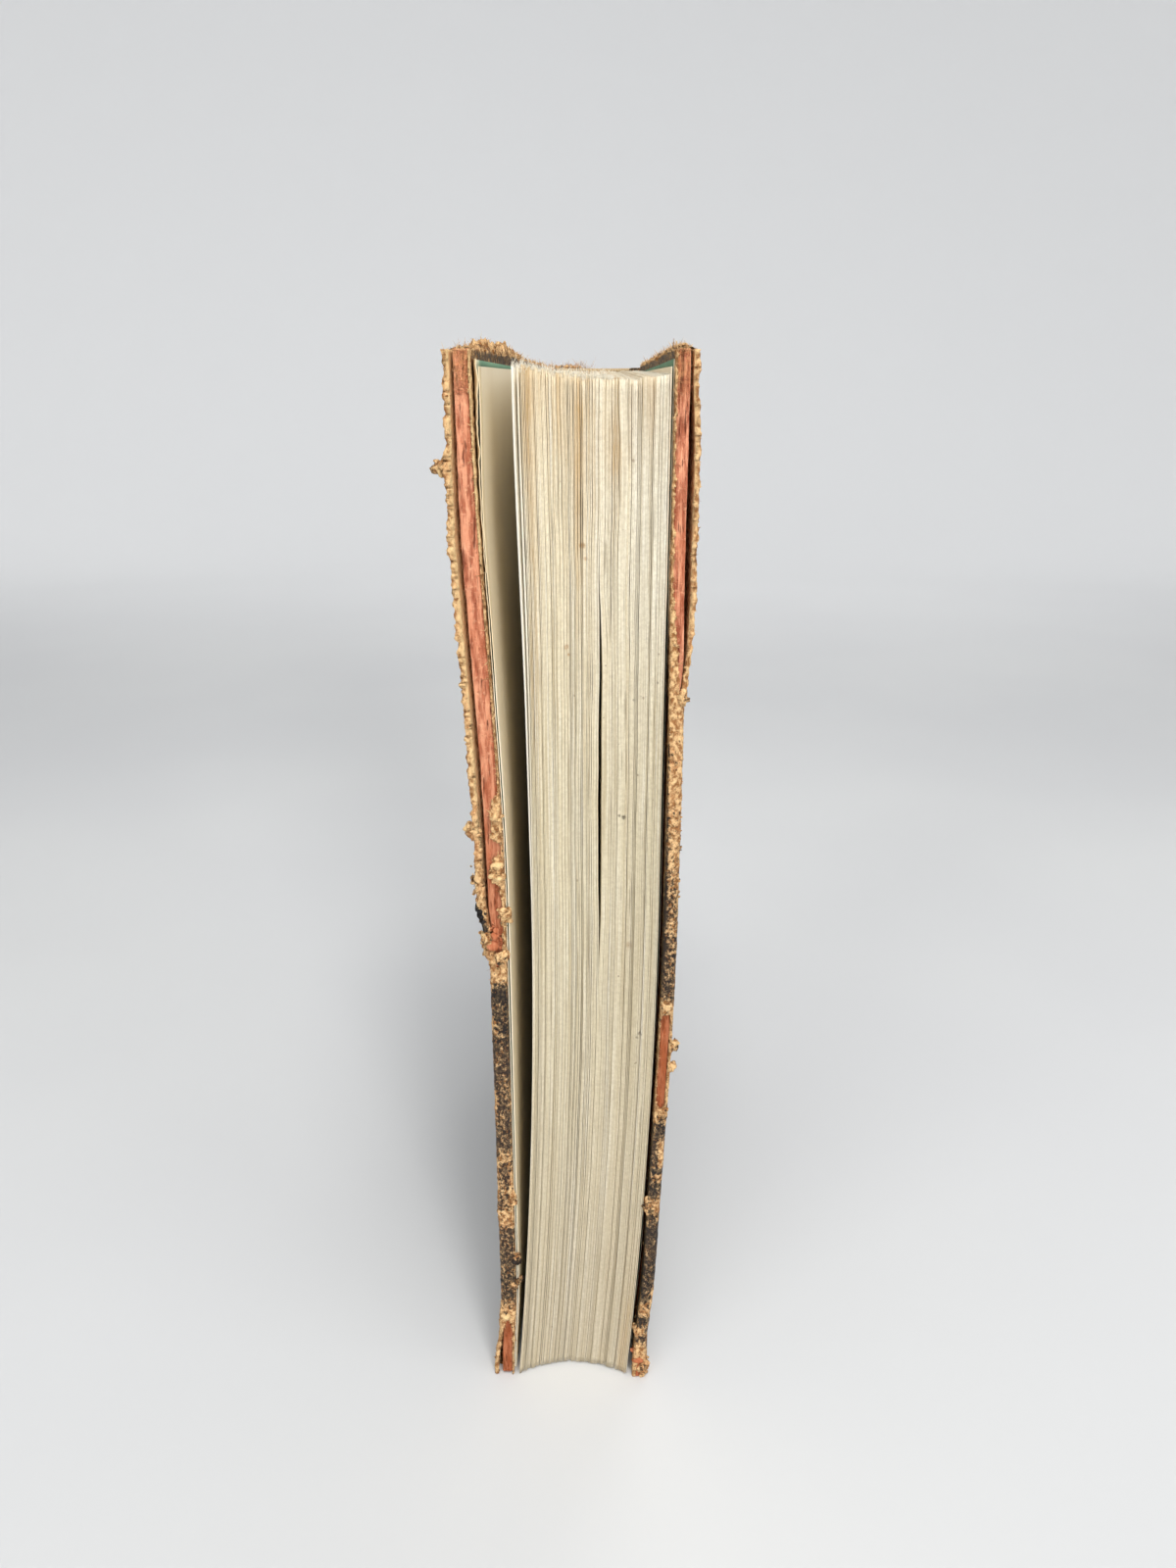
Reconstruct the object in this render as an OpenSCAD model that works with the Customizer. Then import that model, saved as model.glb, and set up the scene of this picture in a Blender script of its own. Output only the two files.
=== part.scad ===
// Worn leather-bound book, standing on its tail with the hollow fore-edge to the front.
// Millimetres, +Z up towards the head, the fore-edge faces -Y and the front cover is at -X.
// The origin is below the middle of the whole book, on the surface that it stands on.

/* [Covers] */
// Height of a cover, leather included
cover_h = 200; // [150:1:260]
// Depth of a cover, from the hinge line to its fore-edge, leather included
cover_w = 127; // [95:1:170]
// Thickness of the red pasteboard in a cover
board_t = 2; // [1.5:0.1:4]
// Radius that the board's fore-edge corners are worn to
corner_r = 4; // [2:0.5:9]
// Groove between the board's back edge and the hinge line
joint_groove = 1.6; // [1.2:0.1:3]

/* [Leather] */
// Thickness of the covering leather
leather_t = 0.7; // [0.5:0.1:1.4]
// Thickness of the pared leather that is turned in over the board's inner face
turn_in_t = 0.25; // [0.2:0.05:0.6]
// Width of the leather that is turned in
turn_in_w = 13; // [8:0.5:20]
// How far the torn leather stands off the rear board at the fore-edge
peel = 0.7; // [0.2:0.1:1.5]
// How far from the fore-edge the torn leather has come loose
peel_w = 22; // [10:1:40]
// Depth of the ragged teeth along torn leather
fray = 0.5; // [0.1:0.1:0.7]
// Depth of the piece that is torn from the head of the spine
head_chip = 5; // [1:0.5:12]

/* [Text block] */
// Thickness of the pages
block_t = 22.4; // [12:0.2:45]
// Height of the cover's head above the pages, at the spine
head_square = 1.4; // [1.4:0.1:6]
// Height of the pages' tail above the surface, at the spine
tail_square = 1.6; // [1.4:0.1:4]
// How far the cover reaches past the corners of the pages' fore-edge
fore_square = 0.4; // [0.2:0.1:5]
// Depth of the hollow in the fore-edge
fore_hollow = 3; // [1:0.1:6]
// Rise of the rounded spine behind the hinge line
spine_round = 7; // [5:0.2:10]
// How far the fore-edge has sunk below the spine
sag = 0.8; // [0:0.1:1.2]
// How far the middle pages have sunk at the head of the fore-edge
head_dip = 2.2; // [0:0.1:4]
// How far the tail of the fore-edge is pushed towards the front cover
tail_push = 4.5; // [0:0.1:4.5]
// How far the head of the fore-edge leans the same way
head_lean = 0.7; // [0:0.1:2]
// Width of the crack between the pages
crack_w = 0.5; // [0.3:0.1:1.2]
// Depth of the crack between the pages
crack_depth = 6; // [2:0.5:12]
// Lower end of the crack
crack_low = 95; // [40:1:110]
// Upper end of the crack
crack_high = 174; // [120:1:180]

/* [Opening of the covers] */
// How far the front cover stands open at its fore-edge
front_ajar = 3.8; // [3:0.1:8]
// How much further the front cover's head bends out
front_head_bend = 2.5; // [0:0.1:5]
// How much further the front cover's tail corner bends out
front_tail_bend = 1; // [0.5:0.1:2]
// How far the rear cover stands open at its fore-edge
rear_ajar = 0.1; // [0:0.1:4]
// How far the rear cover's tail bends in
rear_tail_bend = 2.7; // [0:0.1:2.7]

/* [Wear] */
// Height above which the front board's fore-edge is bare
front_bare = 98; // [60:1:130]
// Height of the front board's bare tail corner
front_tail_bare = 20; // [5:1:40]
// Height above which the rear board's fore-edge is bare
rear_bare = 145; // [105:1:148]
// Height of the middle of the worn patch on the rear fore-edge
rear_patch = 76; // [40:1:85]
// Length of the worn patch on the rear fore-edge
rear_patch_l = 17; // [8:1:24]
// Height of the rear board's bare tail corner
rear_tail_bare = 6; // [3:1:16]

/* [Endpapers] */
// Thickness of the coloured endpaper
paper_t = 0.15; // [0.1:0.05:0.3]
// Distance from the cover's edges to the endpaper's edges
paper_margin = 2.5; // [1.5:0.5:8]
// Distance that the free leaf keeps from the pasted one
leaf_gap = 0.25; // [0.2:0.05:0.8]
// How much further the free leaf's head corner stands off
leaf_lift = 1.2; // [0:0.1:2]

/* [Spine] */
// Thickness of the paper lining on the spine
lining_t = 0.5; // [0.3:0.1:1]
// Thickness of the linen tapes that the pages are sewn on
tape_t = 0.4; // [0.2:0.1:0.8]
// Width of a linen tape
tape_w = 14; // [8:1:20]
// Number of linen tapes
tape_count = 3; // [2:1:5]
// Diameter of the sewn bands at head and tail
band_d = 1.2; // [0.8:0.1:1.3]

/* [Fits] */
// Clearance between glued layers
glue = 0.04; // [0.03:0.01:0.08]
// Clearance between the pages and a cover's free leaf
page_gap = 0.3; // [0.3:0.05:0.8]
// Clearance at the hinge, between the cover's leather and the spine's
hinge_gap = 0.3; // [0.2:0.1:0.8]

/* [Hidden] */
$fn = 96;

// Stations from front to back
fore_y = -(cover_w + spine_round) / 2;
hinge_y = fore_y + cover_w;
board_fore_y = fore_y + leather_t + glue;
board_back_y = hinge_y - joint_groove;

// Layers from the pages outwards, as distances from the middle plane
half_block = block_t / 2;
leaf_in = half_block + page_gap;
leaf_out = leaf_in + paper_t;
paste_in = leaf_out + leaf_gap;
paste_out = paste_in + paper_t;
board_in = paste_out + turn_in_t + 2 * glue;
board_out = board_in + board_t;
skin_in = board_out + glue;
skin_out = skin_in + leather_t;
turned_out = board_in - glue;
turned_in = turned_out - turn_in_t;

// Round of the spine, in layers about one centre line
skin_r = (pow(skin_out, 2) + pow(spine_round, 2)) / (2 * spine_round);
spine_y = hinge_y + spine_round - skin_r;
lining_r = skin_r - leather_t - glue;
tape_r = lining_r - lining_t - glue;
block_r = tape_r - tape_t - glue;
shoulder_y = hinge_y + 0.8;
flare_y = hinge_y - 0.6;
shoulder_x = sqrt(pow(block_r, 2) - pow(shoulder_y - spine_y, 2));
block_h = cover_h - head_square - tail_square;
head_z = tail_square + block_h;

// The middle of the book's width stands over the origin
front_reach = skin_out + front_ajar + front_head_bend + peel / 2;
rear_reach = skin_out + rear_ajar + peel;
middle_x = (front_reach - rear_reach) / 2;

// Rows of points up a cover and columns along it, closer together near the edges
bend_rows = [for (n = [0:36]) cover_h * n / 36];
edge_rows = [for (a = [0, 22.5, 45, 67.5]) corner_r * (1 - cos(a))];
face_shares = [0, 0.25, 0.5, 0.68, 0.8, 0.88, 0.94, 0.975, 1];
leaf_shares = [0, 0.2, 0.4, 0.6, 0.8, 1];

function mix(a, b, t) = a + (b - a) * t;
function share(t) = min(1, max(0, t));
function ease(t) = let (s = share(t)) s * s * (3 - 2 * s);
function steps(a, b, n) = [for (i = [0:n]) mix(a, b, i / n)];

// Share of the way from the hinge line to the fore-edge
function reach(y) = share((hinge_y - y) / cover_w);

// How far each cover stands off its closed place at its fore-edge, straight between the rows
front_bends = [
    for (z = bend_rows) [
        z,
        front_ajar
        + front_head_bend * ease((z / cover_h - 0.55) / 0.45)
        + front_tail_bend * ease(1 - z / (0.12 * cover_h))
    ]
];
rear_bends = [for (z = bend_rows) [z, rear_ajar - rear_tail_bend * ease(1 - z / (0.53 * cover_h))]];
function front_stand(z) = lookup(z, front_bends);
function rear_stand(z) = lookup(z, rear_bends);

// The rows between two heights, and those heights themselves
function rows_between(a, b) = concat([a], [for (z = bend_rows) if (z > a + 0.1 && z < b - 0.1) z], [b]);

// How far the fore-edge of the pages is pushed sideways at height z
function block_push(z) =
    -tail_push * pow(share(1 - z / (0.55 * cover_h)), 2)
    - head_lean * pow(share((z / cover_h - 0.7) / 0.3), 2);

// Ragged edge of torn leather at height z
function ragged(z) = fray * (0.6 * sin(37 * z) + 0.4 * sin(83 * z + 40));

// Heights where each cover's leather is worn through along the fore-edge
function front_worn(z) = z > front_bare || z < front_tail_bare;
function rear_worn(z) = z > rear_bare || abs(z - rear_patch) < rear_patch_l / 2 || z < rear_tail_bare;

// How far torn leather stands off the board at height z
function front_peel(z) = peel / 2 * ease((z - front_bare) / 60);
function rear_peel(z) = peel * ease((z - rear_bare) / 25);

// Two triangles of a four-cornered face
function quad(a, b, c, d) = [[a, b, c], [a, c, d]];

// A sheet between two grids of points, with the cells that keep leaves out cut away
module sheet(outer, inner, keep) {
    rows = len(outer);
    cols = len(outer[0]);
    function at(side, r, c) = (side * rows + r) * cols + c;
    function kept(r, c) = r >= 0 && r < rows - 1 && c >= 0 && c < cols - 1 && keep(r, c);
    faces = [
        for (r = [0:rows - 2], c = [0:cols - 2])
            if (keep(r, c)) each concat(
                quad(at(0, r, c), at(0, r, c + 1), at(0, r + 1, c + 1), at(0, r + 1, c)),
                quad(at(1, r, c), at(1, r + 1, c), at(1, r + 1, c + 1), at(1, r, c + 1)),
                kept(r - 1, c) ? [] : quad(at(0, r, c), at(1, r, c), at(1, r, c + 1), at(0, r, c + 1)),
                kept(r + 1, c) ? []
                    : quad(at(0, r + 1, c), at(0, r + 1, c + 1), at(1, r + 1, c + 1), at(1, r + 1, c)),
                kept(r, c - 1) ? [] : quad(at(0, r, c), at(0, r + 1, c), at(1, r + 1, c), at(1, r, c)),
                kept(r, c + 1) ? []
                    : quad(at(0, r, c + 1), at(1, r, c + 1), at(1, r + 1, c + 1), at(0, r + 1, c + 1))
            )
    ];
    polyhedron([for (grid = [outer, inner], row = grid, p = row) p], faces);
}

// A solid bent from a box of nx by ny by nz cells, whose corners place(i, j, k) gives
module bent_box(nx, ny, nz, place) {
    function at(i, j, k) = (i * (ny + 1) + j) * (nz + 1) + k;
    faces = concat(
        [for (i = [0:nx - 1], j = [0:ny - 1]) each concat(
            quad(at(i, j, 0), at(i + 1, j, 0), at(i + 1, j + 1, 0), at(i, j + 1, 0)),
            quad(at(i, j, nz), at(i, j + 1, nz), at(i + 1, j + 1, nz), at(i + 1, j, nz)))],
        [for (i = [0:nx - 1], k = [0:nz - 1]) each concat(
            quad(at(i, 0, k), at(i, 0, k + 1), at(i + 1, 0, k + 1), at(i + 1, 0, k)),
            quad(at(i, ny, k), at(i + 1, ny, k), at(i + 1, ny, k + 1), at(i, ny, k + 1)))],
        [for (j = [0:ny - 1], k = [0:nz - 1]) each concat(
            quad(at(0, j, k), at(0, j + 1, k), at(0, j + 1, k + 1), at(0, j, k + 1)),
            quad(at(nx, j, k), at(nx, j, k + 1), at(nx, j + 1, k + 1), at(nx, j + 1, k)))]
    );
    polyhedron([for (i = [0:nx], j = [0:ny], k = [0:nz]) place(i, j, k)], faces);
}

// Places the book, and mirrors what belongs to the front cover
module placed() { translate([middle_x, 0, 0]) children(); }
module on_front() { placed() mirror([1, 0, 0]) children(); }

// A strip of the spine's round between two radii, from cut_y backwards or across the width
module spine_strip(r_in, r_out, width, cut_y) {
    translate([0, spine_y]) intersection() {
        difference() {
            circle(r_out);
            circle(r_in);
        }
        translate([-width / 2, cut_y - spine_y]) square([width, r_out * 2]);
    }
}

// Pages: a rounded and backed block, hollow at the fore-edge, leaning and cracked
module text_block() {
    crack_at = 0.06;
    crack_half = crack_w / block_t;
    across = concat(
        steps(-1, crack_at - crack_half, 8), [crack_at], steps(crack_at + crack_half, 1, 8));
    block_fore_y = fore_y + fore_square;
    flare_share = (flare_y - block_fore_y) / (shoulder_y - block_fore_y);
    back = concat(steps(0, flare_share, 7), [mix(flare_share, 1, 0.6), 1]);
    up = steps(0, 1, 32);
    crack_middle = (crack_low + crack_high) / 2;
    crack_reach = (crack_high - crack_low) / 2;
    function place(i, j, k) =
        let (
            p = across[i],
            y_fore = block_fore_y + fore_hollow * (1 - p * p),
            y_spine = spine_y + sqrt(pow(block_r, 2) - pow(p * shoulder_x, 2)),
            y_flat = mix(y_fore, y_spine, back[j]),
            width = mix(half_block, shoulder_x, ease((back[j] - flare_share) / (1 - flare_share))),
            away = reach(mix(block_fore_y, shoulder_y, back[j])),
            z = mix(tail_square, head_z - head_dip * (1 - p * p) * away, up[k]) - sag * away,
            open = j == 0 && p == crack_at ? share(1.6 * (1 - abs(z - crack_middle) / crack_reach)) : 0
        )
        [p * width + block_push(z) * away, y_flat + crack_depth * open, z];
    color("antiquewhite") placed() bent_box(
        len(across) - 1, len(back) - 1, len(up) - 1, function(i, j, k) place(i, j, k));
}

// Linen tapes that the gatherings are sewn on
module sewing_tapes() {
    pitch = block_h / (tape_count + 1);
    color("wheat") placed()
        for (n = [1:tape_count])
            translate([0, 0, tail_square + n * pitch - tape_w / 2])
                linear_extrude(tape_w) spine_strip(block_r + glue, tape_r, shoulder_x * 1.8, spine_y);
}

// Paper lining over the tapes
module spine_lining() {
    color("tan") placed()
        translate([0, 0, tail_square])
            linear_extrude(block_h) spine_strip(tape_r + glue, lining_r, shoulder_x * 1.9, spine_y);
}

// Leather over the spine, torn at the head
module spine_leather() {
    chip_r = 4 * head_chip;
    color("saddlebrown") placed() difference() {
        linear_extrude(cover_h) spine_strip(lining_r + glue, skin_r, skin_out * 2, hinge_y + hinge_gap);
        translate([skin_out * 0.6, hinge_y, cover_h + chip_r - head_chip])
            rotate([-90, 0, 0]) cylinder(r = chip_r, h = spine_round * 2);
    }
}

// A sewn band along the round of the spine, with its middle at height z
module end_band(z) {
    band_r = block_r - band_d / 2 - 2 * glue;
    half_angle = asin(0.75 * half_block / band_r);
    color("linen") placed()
        translate([0, spine_y, z]) rotate([0, 0, 90 - half_angle])
            rotate_extrude(angle = 2 * half_angle) translate([band_r, 0]) circle(d = band_d, $fn = 24);
}

module head_band() { end_band(head_z + band_d / 2 + glue); }
module tail_band() { end_band(tail_square - band_d / 2 - glue); }

// Pasteboard of a cover, bent as stand says, with worn fore-edge corners
module board(stand) {
    low = leather_t + glue;
    high = cover_h - low;
    heights = concat(
        [for (e = edge_rows) low + e],
        rows_between(low + corner_r, high - corner_r),
        [for (n = [len(edge_rows) - 1:-1:0]) high - edge_rows[n]]);
    function worn_back(z) =
        let (d = max(0, corner_r - min(z - low, high - z)))
        corner_r - sqrt(max(0, pow(corner_r, 2) - d * d));
    function grid(u) = [
        for (z = heights) [
            for (s = face_shares)
                let (y = mix(board_back_y, board_fore_y + worn_back(z), s)) [u + stand(z) * reach(y), y, z]
        ]
    ];
    color("indianred") sheet(grid(board_out), grid(board_in), function(r, c) true);
}

// Leather of a cover, turned in over the board's edges and worn through where worn says
module cover_leather(stand, worn, peel_at) {
    chamfer = 0.6 * leather_t;
    crease = 0.6 * turn_in_t;
    fold = 0.3;
    // Columns: the outer face from hinge to fore-edge, then the fold over the edge and the turn-in
    face_y = [for (s = face_shares) mix(hinge_y - hinge_gap, fore_y + chamfer, s)];
    last = len(face_y) - 1;
    columns = concat(
        [for (y = face_y) [[skin_out, y], [skin_in, max(y, fore_y + leather_t + fold)]]],
        [
            [[skin_out - chamfer, fore_y], [skin_in, fore_y + leather_t]],
            [[turned_in + crease, fore_y], [turned_out, fore_y + leather_t]],
            [[turned_in, fore_y + crease], [turned_out, fore_y + leather_t + fold]],
            [[turned_in, fore_y + turn_in_w], [turned_out, fore_y + turn_in_w]],
        ]);
    // Rows: the turn-in and fold at the tail, the face, and the fold and turn-in at the head
    tail_rows = [
        [[turned_in, turn_in_w], [turned_out, turn_in_w]],
        [[turned_in, crease], [turned_out, leather_t + fold]],
        [[turned_in + crease, 0], [turned_out, leather_t]],
        [[skin_out - chamfer, 0], [skin_in, leather_t]],
    ];
    inner_z = leather_t + fold;
    face_rows = [
        for (z = rows_between(chamfer, cover_h - chamfer)) [z, min(max(z, inner_z), cover_h - inner_z)]
    ];
    head_rows = [
        for (n = [3:-1:0]) [for (side = [0, 1]) [tail_rows[n][side].x, cover_h - tail_rows[n][side].y]]
    ];
    first_face = len(tail_rows);
    first_head = first_face + len(face_rows);
    row_total = first_head + len(head_rows);
    function loose(y, z) = peel_at(z) * ease(1 - (y - fore_y) / peel_w);
    function torn(c, z) = worn(z) && (c == last || c == last + 3) ? ragged(z) : 0;
    function on_face(side, r, c) =
        let (
            z = face_rows[r - first_face][side],
            y = columns[c][side].y + torn(c, z),
            u = columns[c][side].x + (c <= last ? loose(y, z) : 0)
        )
        [u + stand(z) * reach(y), y, z];
    function on_fold(side, row, c) =
        let (y = columns[min(c, last)][side].y, u = row[side].x, z = row[side].y)
        [u + stand(z) * reach(y), y, z];
    function grid(side) = [
        for (r = [0:row_total - 1]) [
            for (c = [0:len(columns) - 1])
                r < first_face ? on_fold(side, tail_rows[r], c)
                : r >= first_head ? on_fold(side, head_rows[r - first_head], c)
                : on_face(side, r, c)
        ]
    ];
    // Cells of the folds stop short of the fore-edge's turn-in, and worn cells are missing
    function keep(r, c) =
        r < 2 || r >= row_total - 3 ? c < last && face_y[c + 1] > fore_y + turn_in_w
        : r < first_face || r >= first_head - 1 ? c < last
        : c < last || c > last + 2 ? true
        : !worn(face_rows[r - first_face][0]) && !worn(face_rows[r - first_face + 1][0]);
    color("saddlebrown") sheet(grid(0), grid(1), function(r, c) keep(r, c));
}

// Endpaper of a cover: one folded sheet, half of it pasted to the board and half free
module endpaper(stand, lift) {
    low = paper_margin;
    high = cover_h - paper_margin;
    front = fore_y + paper_margin;
    inside = turn_in_w + 0.4;
    slope = 2;
    rows = concat(
        rows_between(low, inside),
        rows_between(inside + slope, cover_h - inside - slope),
        rows_between(cover_h - inside, high));
    paste_y = concat(
        [front, fore_y + inside],
        [for (s = leaf_shares) mix(fore_y + inside + slope, board_back_y, s)]);
    leaf_y = [for (s = leaf_shares) mix(board_back_y, front, s)];
    // The pasted half lies on the turned-in leather at its edges and on the board inside them
    function on_leather(y, z) =
        y <= fore_y + inside || z <= inside || z >= cover_h - inside ? 0 : turn_in_t + glue;
    function paste_grid(z, side) = [
        for (y = paste_y)
            let (u = (side == 0 ? paste_in : paste_out) + on_leather(y, z)) [u + stand(z) * reach(y), y, z]
    ];
    function fold_grid(z, side) =
        let (y = board_back_y + leaf_gap / 2 + side * paper_t)
        [[(paste_in + leaf_out) / 2 + stand(z) * reach(y), y, z]];
    function leaf_grid(z, side) = [
        for (y = leaf_y)
            let (u = side == 0 ? leaf_out : leaf_in) [u + (stand(z) - lift(z) * reach(y)) * reach(y), y, z]
    ];
    function grid(side) = [
        for (z = rows) concat(paste_grid(z, side), fold_grid(z, side), leaf_grid(z, side))
    ];
    color("darkseagreen") sheet(grid(1), grid(0), function(r, c) true);
}

module front_board() { on_front() board(function(z) front_stand(z)); }

module front_leather() {
    on_front() cover_leather(
        function(z) front_stand(z), function(z) front_worn(z), function(z) front_peel(z));
}

module front_endpaper() {
    on_front() endpaper(
        function(z) front_stand(z), function(z) leaf_lift * ease((z / cover_h - 0.87) / 0.13));
}

module rear_board() { placed() board(function(z) rear_stand(z)); }

module rear_leather() {
    placed() cover_leather(
        function(z) rear_stand(z), function(z) rear_worn(z), function(z) rear_peel(z));
}

module rear_endpaper() { placed() endpaper(function(z) rear_stand(z), function(z) 0); }

text_block();
sewing_tapes();
spine_lining();
spine_leather();
head_band();
tail_band();
front_board();
front_leather();
front_endpaper();
rear_board();
rear_leather();
rear_endpaper();
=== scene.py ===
import math

import bmesh
import bpy
import numpy as np
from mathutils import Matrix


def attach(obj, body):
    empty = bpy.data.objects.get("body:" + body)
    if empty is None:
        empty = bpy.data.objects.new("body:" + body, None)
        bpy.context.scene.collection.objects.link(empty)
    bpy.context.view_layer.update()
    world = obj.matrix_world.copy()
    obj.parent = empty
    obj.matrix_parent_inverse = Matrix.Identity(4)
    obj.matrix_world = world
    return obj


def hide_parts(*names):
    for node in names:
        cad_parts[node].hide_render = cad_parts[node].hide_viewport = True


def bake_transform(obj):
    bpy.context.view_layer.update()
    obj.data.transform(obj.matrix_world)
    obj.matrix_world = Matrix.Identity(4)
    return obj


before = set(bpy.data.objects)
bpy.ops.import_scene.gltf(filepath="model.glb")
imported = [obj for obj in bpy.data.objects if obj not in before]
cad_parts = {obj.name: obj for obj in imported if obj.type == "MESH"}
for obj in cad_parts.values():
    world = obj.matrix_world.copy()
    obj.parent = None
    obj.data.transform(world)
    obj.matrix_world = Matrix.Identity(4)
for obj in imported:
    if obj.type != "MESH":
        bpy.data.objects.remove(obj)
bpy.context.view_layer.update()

# Sizes in millimetres, most of them the same as in the solids
MM = 0.001
COVER_H, COVER_W = 200.0, 127.0
BOARD_T, JOINT_GROOVE = 2.0, 1.6
LEATHER_T, TURN_IN_T, TURN_IN_W = 0.7, 0.25, 13.0
PEEL_W, SWELL_W, HEAD_CHIP = 22.0, 14.0, 5.0
BLOCK_T, HEAD_SQUARE, TAIL_SQUARE, FORE_SQUARE = 22.4, 1.4, 1.6, 0.4
FORE_HOLLOW, SPINE_ROUND, SAG = 3.0, 7.0, 1.1
TAIL_PUSH, HEAD_LEAN, HEAD_FALL = 4.5, 0.7, 3.3
CRACK_W, CRACK_LOW, CRACK_HIGH = 0.7, 85.0, 178.0
FRONT_AJAR, FRONT_HEAD_BEND, FRONT_TAIL_BEND = 3.8, 3.0, 1.0
REAR_AJAR, REAR_TAIL_BEND, REAR_FOOT_BEND, REAR_HEAD_BEND = 0.0, 2.8, 1.4, 0.4
PAPER_T, PAPER_HEAD, PAPER_TAIL, LEAF_GAP, LEAF_LIFT = 0.15, 1.9, 1.6, 0.25, 0.6
LINING_T, TAPE_T, BAND_D = 0.5, 0.4, 1.2
GLUE, PAGE_GAP, HINGE_GAP = 0.04, 0.3, 0.3

# Stations and layers worked out from them
FORE_Y = -(COVER_W + SPINE_ROUND) / 2
HINGE_Y = FORE_Y + COVER_W
BOARD_FORE_Y = FORE_Y + LEATHER_T + GLUE
BOARD_BACK_Y = HINGE_Y - JOINT_GROOVE
HALF = BLOCK_T / 2
LEAF_IN = HALF + PAGE_GAP
LEAF_OUT = LEAF_IN + PAPER_T
PASTE_IN = LEAF_OUT + LEAF_GAP
PASTE_OUT = PASTE_IN + PAPER_T
BOARD_IN = PASTE_OUT + TURN_IN_T + 2 * GLUE
BOARD_OUT = BOARD_IN + BOARD_T
SKIN_IN = BOARD_OUT + GLUE
SKIN_OUT = SKIN_IN + LEATHER_T
TURNED_OUT = BOARD_IN - GLUE
TURNED_IN = TURNED_OUT - TURN_IN_T
SKIN_R = (SKIN_OUT ** 2 + SPINE_ROUND ** 2) / (2 * SPINE_ROUND)
SPINE_Y = HINGE_Y + SPINE_ROUND - SKIN_R
LINING_R = SKIN_R - LEATHER_T - GLUE
BLOCK_R = LINING_R - LINING_T - TAPE_T - 3 * GLUE
SHOULDER_Y, FLARE_Y = HINGE_Y + 0.8, HINGE_Y - 0.6
SHOULDER_X = math.sqrt(BLOCK_R ** 2 - (SHOULDER_Y - SPINE_Y) ** 2)
HEAD_Z = COVER_H - HEAD_SQUARE
BLOCK_FORE_Y = FORE_Y + FORE_SQUARE
MIDDLE_X = 2.925


# Curves, bends and noise

def mix(a, b, t):
    return a + (b - a) * t


def ease(t):
    """From nothing to one, with a smooth start and end."""
    t = np.clip(t, 0.0, 1.0)
    return t * t * (3 - 2 * t)


def hill(x, width):
    """One at x = 0, falling smoothly to nothing at about twice the width."""
    return np.exp(-(x / width) ** 2)


def reach(y):
    """How far depth y is from the hinge, as a share of the cover."""
    return np.clip((HINGE_Y - y) / COVER_W, 0.0, 1.0)


BEND_ROWS = np.linspace(0, COVER_H, 37)
FRONT_BENDS = (FRONT_AJAR + FRONT_HEAD_BEND * ease((BEND_ROWS / COVER_H - 0.55) / 0.45)
               + FRONT_TAIL_BEND * ease(1 - BEND_ROWS / (0.12 * COVER_H)))
REAR_BENDS = (REAR_AJAR - REAR_TAIL_BEND * ease(1 - BEND_ROWS / (0.53 * COVER_H))
              - REAR_FOOT_BEND * ease(1 - BEND_ROWS / (0.14 * COVER_H))
              - REAR_HEAD_BEND * ease((BEND_ROWS / COVER_H - 0.7) / 0.15))


def block_push(p, z):
    """How far the pages at p across the block lean sideways at height z."""
    return (-TAIL_PUSH * np.clip(1 - z / (0.55 * COVER_H), 0, 1) ** 2
            - HEAD_LEAN * ease((z / COVER_H - 0.7) / 0.3) * np.clip((0.3 - p) / 1.3, 0, 1))


def hashed(i, j, k, seed):
    """A repeatable value from -1 to 1 for each whole-number place."""
    h = (i * 374761393 + j * 668265263 + k * 1440670441 + seed * 974634757) & 0xFFFFFFFF
    h = ((h ^ (h >> 13)) * 1274126177) & 0xFFFFFFFF
    return ((h ^ (h >> 16)) & 0xFFFF) / 32767.5 - 1


def noise(x, y, z, seed=0):
    """Smooth noise from -1 to 1 with features about one unit wide."""
    x, y, z = np.broadcast_arrays(np.asarray(x, float), np.asarray(y, float), np.asarray(z, float))
    cell = [np.floor(a).astype(np.int64) for a in (x, y, z)]
    fx, fy, fz = [ease(a - c) for a, c in zip((x, y, z), cell)]
    total = np.zeros(x.shape)
    for di in (0, 1):
        for dj in (0, 1):
            for dk in (0, 1):
                weight = (fx if di else 1 - fx) * (fy if dj else 1 - fy) * (fz if dk else 1 - fz)
                total += weight * hashed(cell[0] + di, cell[1] + dj, cell[2] + dk, seed)
    return total


def rough(x, y, z, octaves=3, seed=0):
    """Noise with finer noise on top of it."""
    total, size = 0.0, 1.0
    for n in range(octaves):
        total = total + size * noise(x * 2 ** n, y * 2 ** n, z * 2 ** n, seed + n)
        size *= 0.5
    return total / 1.75


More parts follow.
